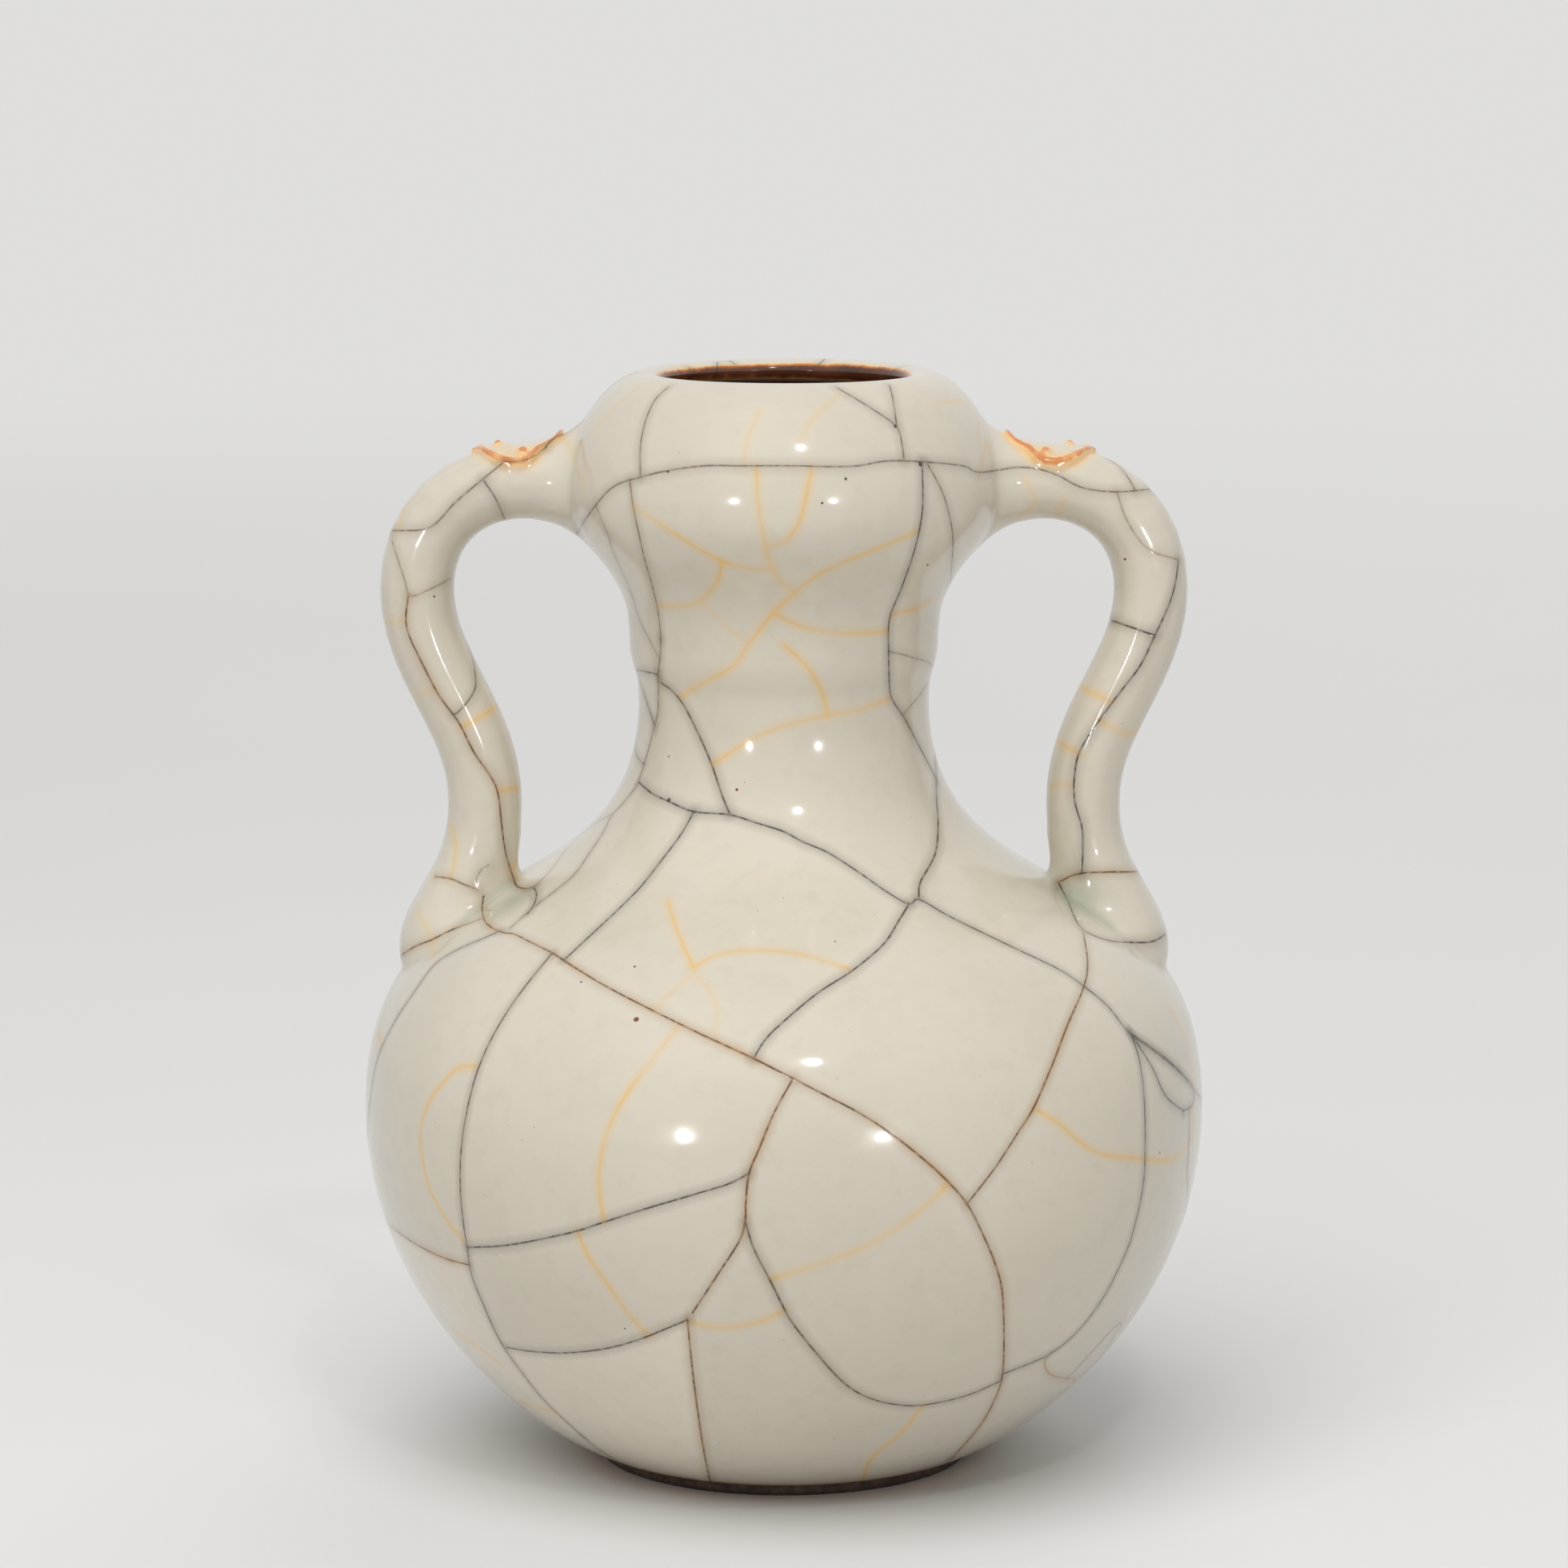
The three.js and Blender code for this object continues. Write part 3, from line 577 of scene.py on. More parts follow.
def weigh(piece, name, weights, levels=20):
    """A vertex group whose weights are rounded to a few levels."""
    group = piece.vertex_groups.new(name=name)
    rounded = np.round(np.clip(weights, 0, 1) * levels).astype(int)
    for level in range(1, levels + 1):
        group.add(np.nonzero(rounded == level)[0].tolist(), level / levels, "REPLACE")
    return name


def tree_of(piece):
    return BVHTree.FromObject(piece, bpy.context.evaluated_depsgraph_get())


def nearest_distances(tree, points):
    return np.array([tree.find_nearest(p)[3] for p in points])


def heights_above(tree, points):
    """How far points stand above a surface, below 0 inside it."""
    feet = [tree.find_nearest(p) for p in points]
    return np.array([(Vector(p) - foot).dot(out) for p, (foot, out, _, _) in zip(points, feet)])


def joined(*pieces):
    """Joins the pieces into the last one."""
    pick(*pieces)
    bpy.ops.object.join()
    return bpy.context.object


def edge_ends(piece):
    """The two vertices of each edge."""
    found = np.zeros(len(piece.data.edges) * 2, int)
    piece.data.edges.foreach_get("vertices", found)
    return found.reshape(-1, 2)


def averaged(piece, values, passes):
    """Each vertex's values replaced by the mean of its neighbours', a number of times over."""
    ends = edge_ends(piece)
    count = np.maximum(np.bincount(ends.ravel(), minlength=len(values)), 1)[:, None]
    for _ in range(passes):
        total = np.zeros_like(values)
        for column in range(values.shape[1]):
            for near, far in ((0, 1), (1, 0)):
                total[:, column] += np.bincount(ends[:, near], values[ends[:, far], column], len(values))
        values = total / count
    return values


def blurred(piece, values, breadth):
    """Averages values over a breadth of the piece's skin."""
    at, ends = places(piece), edge_ends(piece)
    grain = np.median(np.linalg.norm(at[ends[:, 0]] - at[ends[:, 1]], axis=1))
    return averaged(piece, values, round(2 * (breadth / grain) ** 2))


def attribute(piece, name, kind, values):
    layer = piece.data.attributes.new(name, kind, "POINT")
    layer.data.foreach_set("vector" if kind == "FLOAT_VECTOR" else "value", np.asarray(values, np.float32).ravel())


def settle(piece, slot, *nodes):
    """Puts a finished piece on the root body and hides the CAD nodes that it stands for. slot, the finish it would
    take, is not used.
    """
    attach(piece, "root")
    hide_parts(*nodes)


def glazed_name(node):
    return "glazed_" + node


def apron_of(host, roots, breadth, depth, sink):
    """A closed pad of the host's own outer skin round some root points, just under the surface."""
    kd = KDTree(len(roots))
    for i, root in enumerate(roots):
        kd.insert(root, i)
    kd.balance()
    centres = face_centres(host)
    low, high = roots.min(0) - breadth, roots.max(0) + breadth
    close = np.all((centres > low) & (centres < high), axis=1)
    for i in np.nonzero(close)[0]:
        close[i] = kd.find(centres[i])[2] < breadth
    middle = roots.mean(0)
    if host.name.startswith("thrown"):
        outward = centres * (1, 1, 0)
    else:
        outward = np.tile((0, 0, 1.0), (len(centres), 1))
        close &= centres[:, 2] > middle[2] - 0.006
    close &= (face_normals(host) * outward).sum(1) > 0
    pad = duplicate(host, "apron")
    keep_faces(pad, close)
    use_modifier(pad, "SOLIDIFY", thickness=depth, offset=-1)
    editing(pad, "SELECT")
    bpy.ops.mesh.normals_make_consistent(inside=False)
    bpy.ops.transform.shrink_fatten(value=-sink)
    done_editing()
    return pad


def draped(piece, node, host, share, spread):
    """Lays a piece that stands on a CAD node on that node's finished skin, with a share of its height, and
    spread a little to the front and the back."""
    plain = frame["nodes"][node].data
    under = BVHTree.FromPolygons([v.co for v in plain.vertices], [p.vertices for p in plain.polygons])
    over = tree_of(host)
    at = places(piece)
    for i, point in enumerate(at):
        foot, out, _, _ = under.find_nearest(point)
        height = (Vector(point) - foot).dot(out)
        sideways = out.cross(Vector((1, 0, 0))) * foot.y
        landing, up, _, _ = over.find_nearest(foot + sideways * spread)
        at[i] = landing + up * height * share
    piece.data.vertices.foreach_set("co", at.ravel())
    piece.data.update()


def luted(piece, host, grain, seat, slip, apron, sink, fillet, passes, fairing):
    """A piece pressed into the surface that carries it, with its root faired in as slip and glaze leave it."""
    tree = tree_of(host)
    near = nearest_distances(tree, places(piece)) < slip
    roots = places(piece)[near]
    editing(piece)
    done_editing()
    choose_vertices(piece, near)
    bpy.ops.object.mode_set(mode="EDIT")
    bpy.ops.transform.shrink_fatten(value=seat)
    done_editing()
    joined(apron_of(host, roots, apron, seat, sink), piece)
    use_modifier(piece, "REMESH", mode="VOXEL", voxel_size=grain, use_smooth_shade=True)
    use_modifier(piece, "SMOOTH", factor=0.5, iterations=passes)
    above = nearest_distances(tree, places(piece))
    group = weigh(piece, "fillet", 1 - ramp(above, fillet / 3, fillet))
    use_modifier(piece, "SMOOTH", factor=0.5, iterations=fairing, vertex_group=group)
    piece.vertex_groups.clear()
    feather(piece, tree, fillet / 6)
    return piece


def feather(piece, tree, height):
    """Lets a piece's foot run out level with the surface below it, so that no edge shows."""
    at = places(piece)
    for i, point in enumerate(at):
        under, out, _, gap = tree.find_nearest(point)
        above = (Vector(point) - under).dot(out)
        if above > 0 and gap < height * 8:
            level = above**2 / (2 * height) if above < height else above - height / 2
            share = 1 - float(ramp(above, height * 3, height * 8))
            at[i] = point - np.array(out) * (above - level) * share
    piece.data.vertices.foreach_set("co", at.ravel())
    piece.data.update()


class VASE_OT_throw(bpy.types.Operator):
    """Throws the body on the wheel and cuts it into its four sections at the luting seams"""

    bl_idname = "vase.throw"
    bl_label = "Throw the body"

    def execute(self, context):
        wheel = context.scene.vase_throwing
        links = section_links(THROWN)
        start = min((p for p in links if p[0] == 0), key=lambda p: p[1])
        line = walk(links, start)
        rim = max(range(len(line)), key=lambda i: line[i].y)
        lip_depth = 0.012

        def spacing_at(point):
            inside = line.index(point) > rim and point.y < line[rim].y - lip_depth
            return wheel.inner_rings if inside else wheel.rings

        coarser = 1
        body = spun("thrown_body", faired(line, spacing_at), wheel.turns // coarser)
        heights = face_centres(body)[:, 2]
        cloud = bpy.data.textures.new("unevenness", "CLOUDS")
        cloud.noise_scale = wheel.unevenness_size
        cloud.noise_depth = 0
        walls = weigh(body, "walls", ramp(places(body)[:, 2], wheel.footing / 3, wheel.footing))
        use_modifier(
            body, "DISPLACE", texture=cloud, strength=wheel.unevenness, mid_level=0.5, vertex_group=walls)
        body.vertex_groups.clear()
        true_places, true_normals = places(body), normals(body)
        true = {tuple(np.round(p, 7)): n for p, n in zip(true_places, true_normals)}
        for node in THROWN:
            low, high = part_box(node)
            section = duplicate(body, glazed_name(node))
            keep_faces(section, (heights > low.z) & (heights < high.z))
            bpy.ops.object.mode_set(mode="EDIT")
            bpy.ops.mesh.select_mode(type="EDGE")
            for seam in (low.z, high.z):
                if any(abs(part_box(n)[0].z - seam) < 1e-6 for n in THROWN if n != "lower_belly"):
                    self.close_seam(section, seam, wheel.unevenness)
            done_editing()
            kept = [true.get(tuple(np.round(p, 7)), Vector((0, 0, 1))) for p in places(section)]
            section.data.normals_split_custom_set_from_vertices(kept)
            settle(section, "ash_glaze", node)
        return {"FINISHED"}

    def close_seam(self, section, height, slack):
        """Bridges the outer and the inner edge of the wall at a seam."""
        bpy.ops.mesh.select_all(action="DESELECT")
        bpy.ops.mesh.select_non_manifold(use_wire=False, use_multi_face=False, use_non_contiguous=False, use_verts=False)
        done_editing()
        mesh = section.data
        at_seam = np.abs(places(section)[:, 2] - height) < slack + 1e-5
        chosen = np.zeros(len(mesh.edges), bool)
        mesh.edges.foreach_get("select", chosen)
        chosen &= at_seam[edge_ends(section)].all(1)
        mesh.vertices.foreach_set("select", np.zeros(len(mesh.vertices), bool))
        mesh.edges.foreach_set("select", chosen)
        bpy.ops.object.mode_set(mode="EDIT")
        bpy.ops.mesh.bridge_edge_loops()


class VASE_OT_turn_foot(bpy.types.Operator):
    """Turns the bare iron-brown foot ring under the body"""

    bl_idname = "vase.turn_foot"
    bl_label = "Turn the foot"

    def execute(self, context):
        wheel = context.scene.vase_throwing
        links = section_links(("foot_ring",))
        line = walk(links, min(links, key=lambda p: (p[1], p[0])))
        line.append(line[0])
        ring_step = 0.0006
        foot = spun("bare_foot", faired(line, lambda point: ring_step), wheel.turns // 2)
        grit = bpy.data.textures.new("grit", "CLOUDS")
        grit.noise_scale = 0.0016
        inside_box = weigh(foot, "sides", ramp(places(foot)[:, 2], 0.0001, 0.0007))
        use_modifier(foot, "DISPLACE", texture=grit, strength=0.00025, mid_level=0.6, vertex_group=inside_box)
        foot.vertex_groups.clear()
        settle(foot, "iron_foot", "foot_ring")
        return {"FINISHED"}


class VASE_OT_lute_handles(bpy.types.Operator):
    """Lutes both handles to the bulb and the shoulder and fairs their roots in"""

    bl_idname = "vase.lute_handles"
    bl_label = "Lute the handles"

    def execute(self, context):
        slip = context.scene.vase_luting
        coarser = 1
        for side in SIDES:
            node = side + "_handle"
            handle = luted(
                copy_of_node(node, glazed_name(node)), bpy.data.objects["thrown_body"], slip.handle_grain * coarser,
                slip.seat, slip.slip, slip.apron, slip.sink, slip.fillet, int(slip.smooth_passes / coarser**2),
                int(slip.fillet_passes / coarser**2))
            settle(handle, "ash_glaze", node)
        return {"FINISHED"}


class VASE_OT_press_sprigs(bpy.types.Operator):
    """Presses the ruyi sprigs on to the arms of the handles"""

    bl_idname = "vase.press_sprigs"
    bl_label = "Press the sprigs"

    def execute(self, context):
        slip = context.scene.vase_luting
        coarser = 1
        for side in SIDES:
            node, arm = side + "_ruyi_sprig", side + "_handle"
            host = bpy.data.objects[glazed_name(arm)]
            grain = slip.sprig_grain * coarser
            sprig = copy_of_node(node, glazed_name(node))
            use_modifier(sprig, "REMESH", mode="VOXEL", voxel_size=grain)
            draped(sprig, arm, host, slip.sprig_relief, slip.sprig_spread)
            sprig = luted(
                sprig, host, grain, slip.sprig_seat, slip.slip / 2, slip.sprig_apron, slip.sink, slip.sprig_seat * 2,
                int(slip.sprig_passes / coarser**2), int(slip.sprig_passes * 3 / coarser**2))
            settle(sprig, "rusty_glaze", node)
        body = bpy.data.objects["thrown_body"]
        bpy.data.meshes.remove(body.data)
        return {"FINISHED"}


def glazed_pieces():
    return [o for o in bpy.data.objects if o.name.startswith("glazed_")]


class Skin:
    """All the glazed pieces together, to find places on them."""

    def __init__(self):
        self.trees = [tree_of(piece) for piece in glazed_pieces()]

    def cast(self, origin, direction):
        hits = [hit for hit in (tree.ray_cast(origin, direction) for tree in self.trees) if hit[0]]
        return min(hits, key=lambda hit: hit[3]) if hits else None

    def lid(self, place, normal):
        """The skin that covers a place, where one piece runs on just under another's edge."""
        clear, deepest = 1e-5, 0.0035
        above = self.cast(place + normal * clear, normal)
        return above if above and above[1].dot(normal) > 0 and above[3] < deepest else None

    def nearest(self, point):
        """The nearest place on the outermost skin."""
        found = min((tree.find_nearest(point) for tree in self.trees), key=lambda hit: hit[3])
        return self.lid(found[0], found[1]) or found

    def seen_at(self, camera, x, y):
        """The place that the photograph shows at a pixel."""
        return self.cast(camera.matrix_world.translation, camera_ray(camera, x, y))[0]


def camera_ray(camera, x, y):
    """Direction from the camera through a pixel of the photograph."""
    half = camera.data.sensor_width / 2 / camera.data.lens
    across = (2 * x / PHOTO_SIDE - 1) * half
    up = (1 - 2 * y / PHOTO_SIDE) * half
    return (camera.matrix_world.to_3x3() @ Vector((across, up, -1))).normalized()


def eased(points, step):
    """A smooth run through some places, a step apart."""
    points = [Vector(p) for p in points]
    ends = [2 * points[0] - points[1], *points, 2 * points[-1] - points[-2]]
    run = []
    for a, b, c, d in zip(ends, ends[1:], ends[2:], ends[3:]):
        steps = max(2, round((c - b).length / step))
        for k in range(steps):
            t = k / steps
            run.append(
                0.5 * (2 * b + (c - a) * t + (2 * a - 5 * b + 4 * c - d) * t**2 + (3 * b - a - 3 * c + d) * t**3))
    return [*run, points[-1]]


class Crackle:
    """One network of cracks: runs of places on the skin, each with its strength and how rusty it is."""

    def __init__(self, skin, step):
        self.skin = skin
        self.step = step
        self.runs = []
        self.marks = []
        self.cloud = np.zeros((0, 3))

    def add(self, run, strength, stain):
        if len(run) > 1:
            self.runs.append(np.array(run))
            self.marks.append((strength, stain))
            self.cloud = np.vstack([self.cloud, self.runs[-1]])

    def trace(self, camera, pixels, strength, stain):
        """A crack drawn through pixels of the photograph, parted where it passes behind an edge."""
        origin = camera.matrix_world.translation
        pixel_step, furthest = 3, 0.006
        hits = [self.skin.cast(origin, camera_ray(camera, *p)) for p in eased(pixels, pixel_step)]
        run = []
        for hit in hits:
            if not hit or (run and (hit[0] - run[-1]).length > furthest):
                self.add(run, strength, stain)
                run = []
            if hit:
                run.append(hit[0])
        self.add(run, strength, stain)

    def nearest(self, place):
        """The nearest place on any crack, and how far off it is."""
        gaps = ((self.cloud - place) ** 2).sum(1)
        found = gaps.argmin()
        return Vector(self.cloud[found]), math.sqrt(gaps[found])

    def spread(self, start, heading, blocked, draw, longest=0.17):
        """A crack that runs on over the skin until it meets another, which it turns to squarely at the end.
        Where it is blocked, it makes for the nearest one."""
        place, normal, _, _ = self.skin.nearest(start)
        heading = (heading - normal * heading.dot(normal)).normalized()
        trail = [place]
        curl = draw.uniform(-1, 1) * 11
        swing = draw.uniform(0, 6.28)
        drawn_in, own_start, meeting = 0.007, self.step * 9, self.step * 1.3
        travelled = 0
        homing = False
        while travelled < longest * 1.4:
            met, gap = self.nearest(place)
            homing = homing or travelled > longest or (travelled > own_start and blocked(place, normal))
            if travelled > own_start or homing:
                if gap < meeting:
                    trail.append(met)
                    break
                if homing or gap < drawn_in:
                    heading = (heading + (met - place) / gap * 0.35).normalized()
            swerve = (curl + 14 * math.sin(swing + travelled * 130)) * self.step
            heading = Matrix.Rotation(swerve, 3, normal) @ heading
            place, normal, _, _ = self.skin.nearest(place + heading * self.step)
            heading = (heading - normal * heading.dot(normal)).normalized()
            trail.append(place)
            travelled += self.step
        return trail

    def layers(self, count, close=2 * CRACK_REACH):
        """Deals the runs out so that runs that meet lie in different layers, where their ends stay sharp."""
        owner = [i for i, run in enumerate(self.runs) for _ in run]
        tree = KDTree(len(owner))
        for i, place in enumerate(np.vstack(self.runs)):
            tree.insert(place, i)
        tree.balance()
        dealt = []
        for i, run in enumerate(self.runs):
            taken = [0] * count
            met = {owner[found] for place in run for _, found, _ in tree.find_range(place, close)}
            for other in met:
                if other < i:
                    taken[dealt[other]] += 1
            dealt.append(taken.index(min(taken)))
        return [[i for i, layer in enumerate(dealt) if layer == n] for n in range(count)]


def crack_field(crackles, chosen, points):
    """For each point, the way to the nearest of the chosen cracks, and that crack's strength and stain."""
    runs = [crackles.runs[i] for i in chosen]
    cloud = np.vstack(runs)
    first = np.concatenate([[1] + [0] * (len(run) - 1) for run in runs]).astype(bool)
    marks = np.concatenate([[(*crackles.marks[i], 0)] * len(crackles.runs[i]) for i in chosen])
    kd = KDTree(len(cloud))
    for i, place in enumerate(cloud):
        kd.insert(place, i)
    kd.balance()
    index = np.array([kd.find(point)[1] for point in points])
    best = cloud[index] - points
    last = np.append(first[1:], True)
    for beside, closed in ((-1, first), (1, last)):
        neighbour = np.where(closed[index], index, index + beside)
        along = cloud[neighbour] - cloud[index]
        length = np.maximum((along**2).sum(1), 1e-12)
        share = np.clip(((points - cloud[index]) * along).sum(1) / length, 0, 1)
        way = cloud[index] + along * share[:, None] - points
        closer = (way**2).sum(1) < (best**2).sum(1)
        best[closer] = way[closer]
    best[(best**2).sum(1) > CRACK_REACH**2] = FAR_OFF
    return best, marks[index]


class VASE_OT_crackle(bpy.types.Operator):
    """Cools the vase until its glaze cracks: the photographed cracks in front, and more of them all round"""

    bl_idname = "vase.crackle"
    bl_label = "Crackle the glaze"

    def execute(self, context):
        kiln = context.scene.vase_crackle
        camera = context.scene.camera
        eye = camera.matrix_world.translation
        skin = Skin()
        step = 0.0009
        iron, gold = Crackle(skin, step), Crackle(skin, step)
        draw = random.Random(kiln.seed)
        for network, lines in ((iron, IRON_LINES), (gold, GOLD_LINES)):
            for name, pixels in lines.items():
                stain = draw.uniform(0.75, 1) if name in STAINED else draw.uniform(0, 0.3)
                strength = kiln.faint if name in FAINT else kiln.thin if name in THIN else 1
                network.trace(camera, pixels, strength, stain)
        grazing = 0.16

        def seen(place, normal):
            """In the photographer's view, and not just at its edge."""
            back = (eye - place).normalized()
            if normal.dot(back) < grazing:
                return False
            off = 0.001
            return not any(tree.ray_cast(place + normal * off, back)[0] for tree in skin.trees)

        samples = self.samples(draw, 2600)
        hidden = [(p, n) for p, n in samples if not seen(p, n) and not skin.lid(p, n)]
        for run, marks in list(zip(iron.runs, iron.marks)):
            inward, shortest = 3, 24
            if len(run) < shortest:
                continue
            for end, before in ((run[-1], run[-1 - inward]), (run[0], run[inward])):
                place, normal, _, _ = skin.nearest(Vector(end))
                others = np.vstack([other for other in iron.runs if other is not run])
                if ((others - end) ** 2).sum(1).min() < (step * 2) ** 2:
                    continue
                if normal.dot((eye - place).normalized()) < 0.34:
                    self.run_on(iron, Vector(end), Vector(end - before), seen, draw, marks)
        self.fill(iron, iron.cloud, hidden, kiln.iron_cell, seen, draw)
        own = len(gold.cloud)
        gold.cloud = np.vstack([gold.cloud, iron.cloud])
        self.fill(gold, gold.cloud, hidden, kiln.gold_cell, seen, draw)
        pieces = glazed_pieces()
        points = np.vstack([places(piece) for piece in pieces])
        ways = []
        for name, network, count in (("iron", iron, IRON_LAYERS), ("gold", gold, GOLD_LAYERS)):
            for layer, chosen in enumerate(network.layers(count)):
                way, marks = crack_field(network, chosen, points)
                if network is iron:
                    ways.append(way)
                self.spread_out(pieces, f"{name}_{layer}", "FLOAT_VECTOR", way)
                self.spread_out(pieces, f"{name}_{layer}_marks", "FLOAT_VECTOR", marks)
        self.spread_out(pieces, "cell", "FLOAT", self.cell_tones(skin, pieces, points, ways, draw))
        print("cracks: iron", len(iron.runs), "gold", len(gold.runs), "points", len(iron.cloud), own)
        return {"FINISHED"}

    def spread_out(self, pieces, name, kind, values):
        """Gives each piece its own share of a long row of values."""
        start = 0
        for piece in pieces:
            size = len(piece.data.vertices)
            attribute(piece, name, kind, values[start:start + size])
            start += size

    def cell_tones(self, skin, pieces, points, ways, draw):
        """-1 to 1 for each cell that the iron cracks close off, because light in the glaze stops at a crack. The listed
        cells are set to given tones instead, which are painted light and shade: paler where the top light falls, greyer
        where shade falls.
        """
        links = []
        start = 0
        for piece in pieces:
            links.append(edge_ends(piece) + start)
            start += len(piece.data.vertices)
        tree = KDTree(len(points))
        order = np.concatenate([
            np.full(len(piece.data.vertices), piece.name[7:] in THROWN) for piece in pieces])
        for i in np.nonzero(order)[0]:
            tree.insert(points[i], i)
        tree.balance()
        touching = 0.0011
        bridges = []
        for i in np.nonzero(~order)[0]:
            _, found, gap = tree.find(points[i])
            if gap < touching:
                bridges.append((i, found))
        seen_at = {}
        for i in np.nonzero(order)[0]:
            key = tuple(np.round(points[i], 6))
            if key in seen_at:
                bridges.append((seen_at[key], i))
            else:
                seen_at[key] = i
        links = np.vstack([*links, np.array(bridges)])
        for way in ways:
            near = (way**2).sum(1) <= CRACK_REACH**2
            a, b = links.T
            links = links[~(near[a] & near[b] & ((way[a] * way[b]).sum(1) < 0))]
        label = np.arange(len(points))
        while True:
            lowest = np.minimum(label[links[:, 0]], label[links[:, 1]])
            new = label.copy()
            np.minimum.at(new, links[:, 0], lowest)
            np.minimum.at(new, links[:, 1], lowest)
            np.minimum.at(new, label, new.copy())
            new = new[new]
            if (new == label).all():
                break
            label = new
        tones = {cell: draw.uniform(-1, 1) for cell in sorted(set(label.tolist()))}
        camera = bpy.context.scene.camera
        # Painted light and shade: the listed cells get set tones, paler where the top light falls and greyer in shade.
        for name, (x, y, tone) in CELL_TONES_AND_PAINTED_LIGHT.items():
            hit = skin.cast(camera.matrix_world.translation, camera_ray(camera, x, y))
            tones[label[np.linalg.norm(points - hit[0], axis=1).argmin()]] = tone
        return np.array([tones[cell] for cell in label.tolist()])

    def samples(self, draw, count):
        """Places spread over the outside of the glazed pieces, each with its normal."""
        found = []
        for piece in glazed_pieces():
            at, out = places(piece), normals(piece)
            radius = np.hypot(at[:, 0], at[:, 1])
            outside = ((at * out * (1, 1, 0)).sum(1) > 0) | (at[:, 2] < 0.01) | (np.abs(at[:, 0]) > radius.max() * 2)
            if "handle" in piece.name:
                outside[:] = True
            chosen = np.nonzero(outside)[0]
            share = min(len(chosen), count // 6)
            found += [(Vector(at[i]), Vector(out[i])) for i in draw.sample(chosen.tolist(), share)]
        return found

    def run_on(self, network, end, heading, seen, draw, marks):
        """Carries a crack on from the edge of the photographed side."""
        edge = {"left": 8}

        def blocked(place, normal):
            if seen(place, normal):
                edge["left"] -= 1
            return edge["left"] < 0

        network.add(network.spread(end, heading, blocked, draw), *marks)

    def fill(self, network, cloud, hidden, cell, seen, draw):
        """Splits the widest hidden cell with a crack, again and again, until none is wider than twice the cell."""
        at = np.array([p for p, n in hidden])
        gap = np.full(len(at), 1.0)

        def close_in(new):
            if len(new):
                tree = KDTree(len(new))
                for i, place in enumerate(new):
                    tree.insert(place, i)
                tree.balance()
                for i, place in enumerate(at):
                    gap[i] = min(gap[i], tree.find(place)[2])

        close_in(cloud)
        most = 160
        for _ in range(most):
            widest = int(gap.argmax())
            if gap[widest] < cell:
                break
            start, normal = hidden[widest]
            before = len(network.cloud)
            heading = Matrix.Rotation(draw.uniform(0, math.pi), 3, normal) @ normal.orthogonal()
            wide = cell * 1.7
            if gap[widest] < wide:
                turn = Matrix.Rotation(draw.uniform(-0.4, 0.4), 3, normal)
                heading = turn @ (network.nearest(start)[0] - start)
            halves = [network.spread(start, way, seen, draw) for way in (heading, -heading)]
            network.add([*reversed(halves[1]), *halves[0][1:]], draw.uniform(0.6, 1), draw.random() ** 2)
            close_in(network.cloud[before:])


class Shader:
    """A short way to write the nodes of a material, or of the world."""

    def __init__(self, name, kind=bpy.data.materials):
        self.material = kind.new(name)
        self.material.use_nodes = True
        self.tree = self.material.node_tree
        self.skin = self.tree.nodes["Background" if kind == bpy.data.worlds else "Principled BSDF"]

    def node(self, kind, inputs=(), **settings):
        made = self.tree.nodes.new("ShaderNode" + kind)
        for name, value in settings.items():
            setattr(made, name, value)
        for socket, value in dict(inputs).items():
            self.put(made.inputs[socket], value)
        return made

    def put(self, socket, value):
        if isinstance(value, bpy.types.NodeSocket):
            self.tree.links.new(value, socket)
        else:
            socket.default_value = (*value, 1) if socket.type == "RGBA" and len(value) == 3 else value

    def math(self, operation, a, b=0.0):
        return self.node("Math", {0: a, 1: b}, operation=operation).outputs[0]

    def mix(self, share, a, b, blend="MIX"):
        inputs = {"Factor": share, "A": a, "B": b}
        made = self.node("Mix", data_type="RGBA", blend_type=blend)
        for socket in made.inputs:
            if socket.enabled and socket.name in inputs:
                self.put(socket, inputs[socket.name])
        return next(o for o in made.outputs if o.enabled)

    def fade(self, value, start, end, low=0.0, high=1.0):
        """Smoothly from low at start to high at end."""
        return self.node(
            "MapRange", {"Value": value, "From Min": start, "From Max": end, "To Min": low, "To Max": high},
            interpolation_type="SMOOTHSTEP").outputs[0]

    def noise(self, scale, detail=2.0, roughness=0.5):
        coordinates = self.node("TexCoord").outputs["Object"]
        return self.node(
            "TexNoise", {"Vector": coordinates, "Scale": scale, "Detail": detail, "Roughness": roughness}
        ).outputs["Fac"]

    def attribute(self, name):
        return self.node("Attribute", attribute_name=name)

    def marks(self, name):
        """Strength and stain of the nearest crack of a layer."""
        parts = self.node("SeparateXYZ", {0: self.attribute(name + "_marks").outputs["Vector"]})
        return parts.outputs[0], parts.outputs[1]

    def fall(self, way, reach):
        """1 on a crack, and less and less away from it."""
        glow = self.math("EXPONENT", self.math("MULTIPLY", way, -1 / reach))
        return self.math("MULTIPLY", glow, self.fade(way, CRACK_REACH, CRACK_REACH / 2))

    def reach(self, name):
        """Distance to the nearest crack of a network."""
        return self.node("VectorMath", {0: self.attribute(name).outputs["Vector"]}, operation="LENGTH").outputs["Value"]


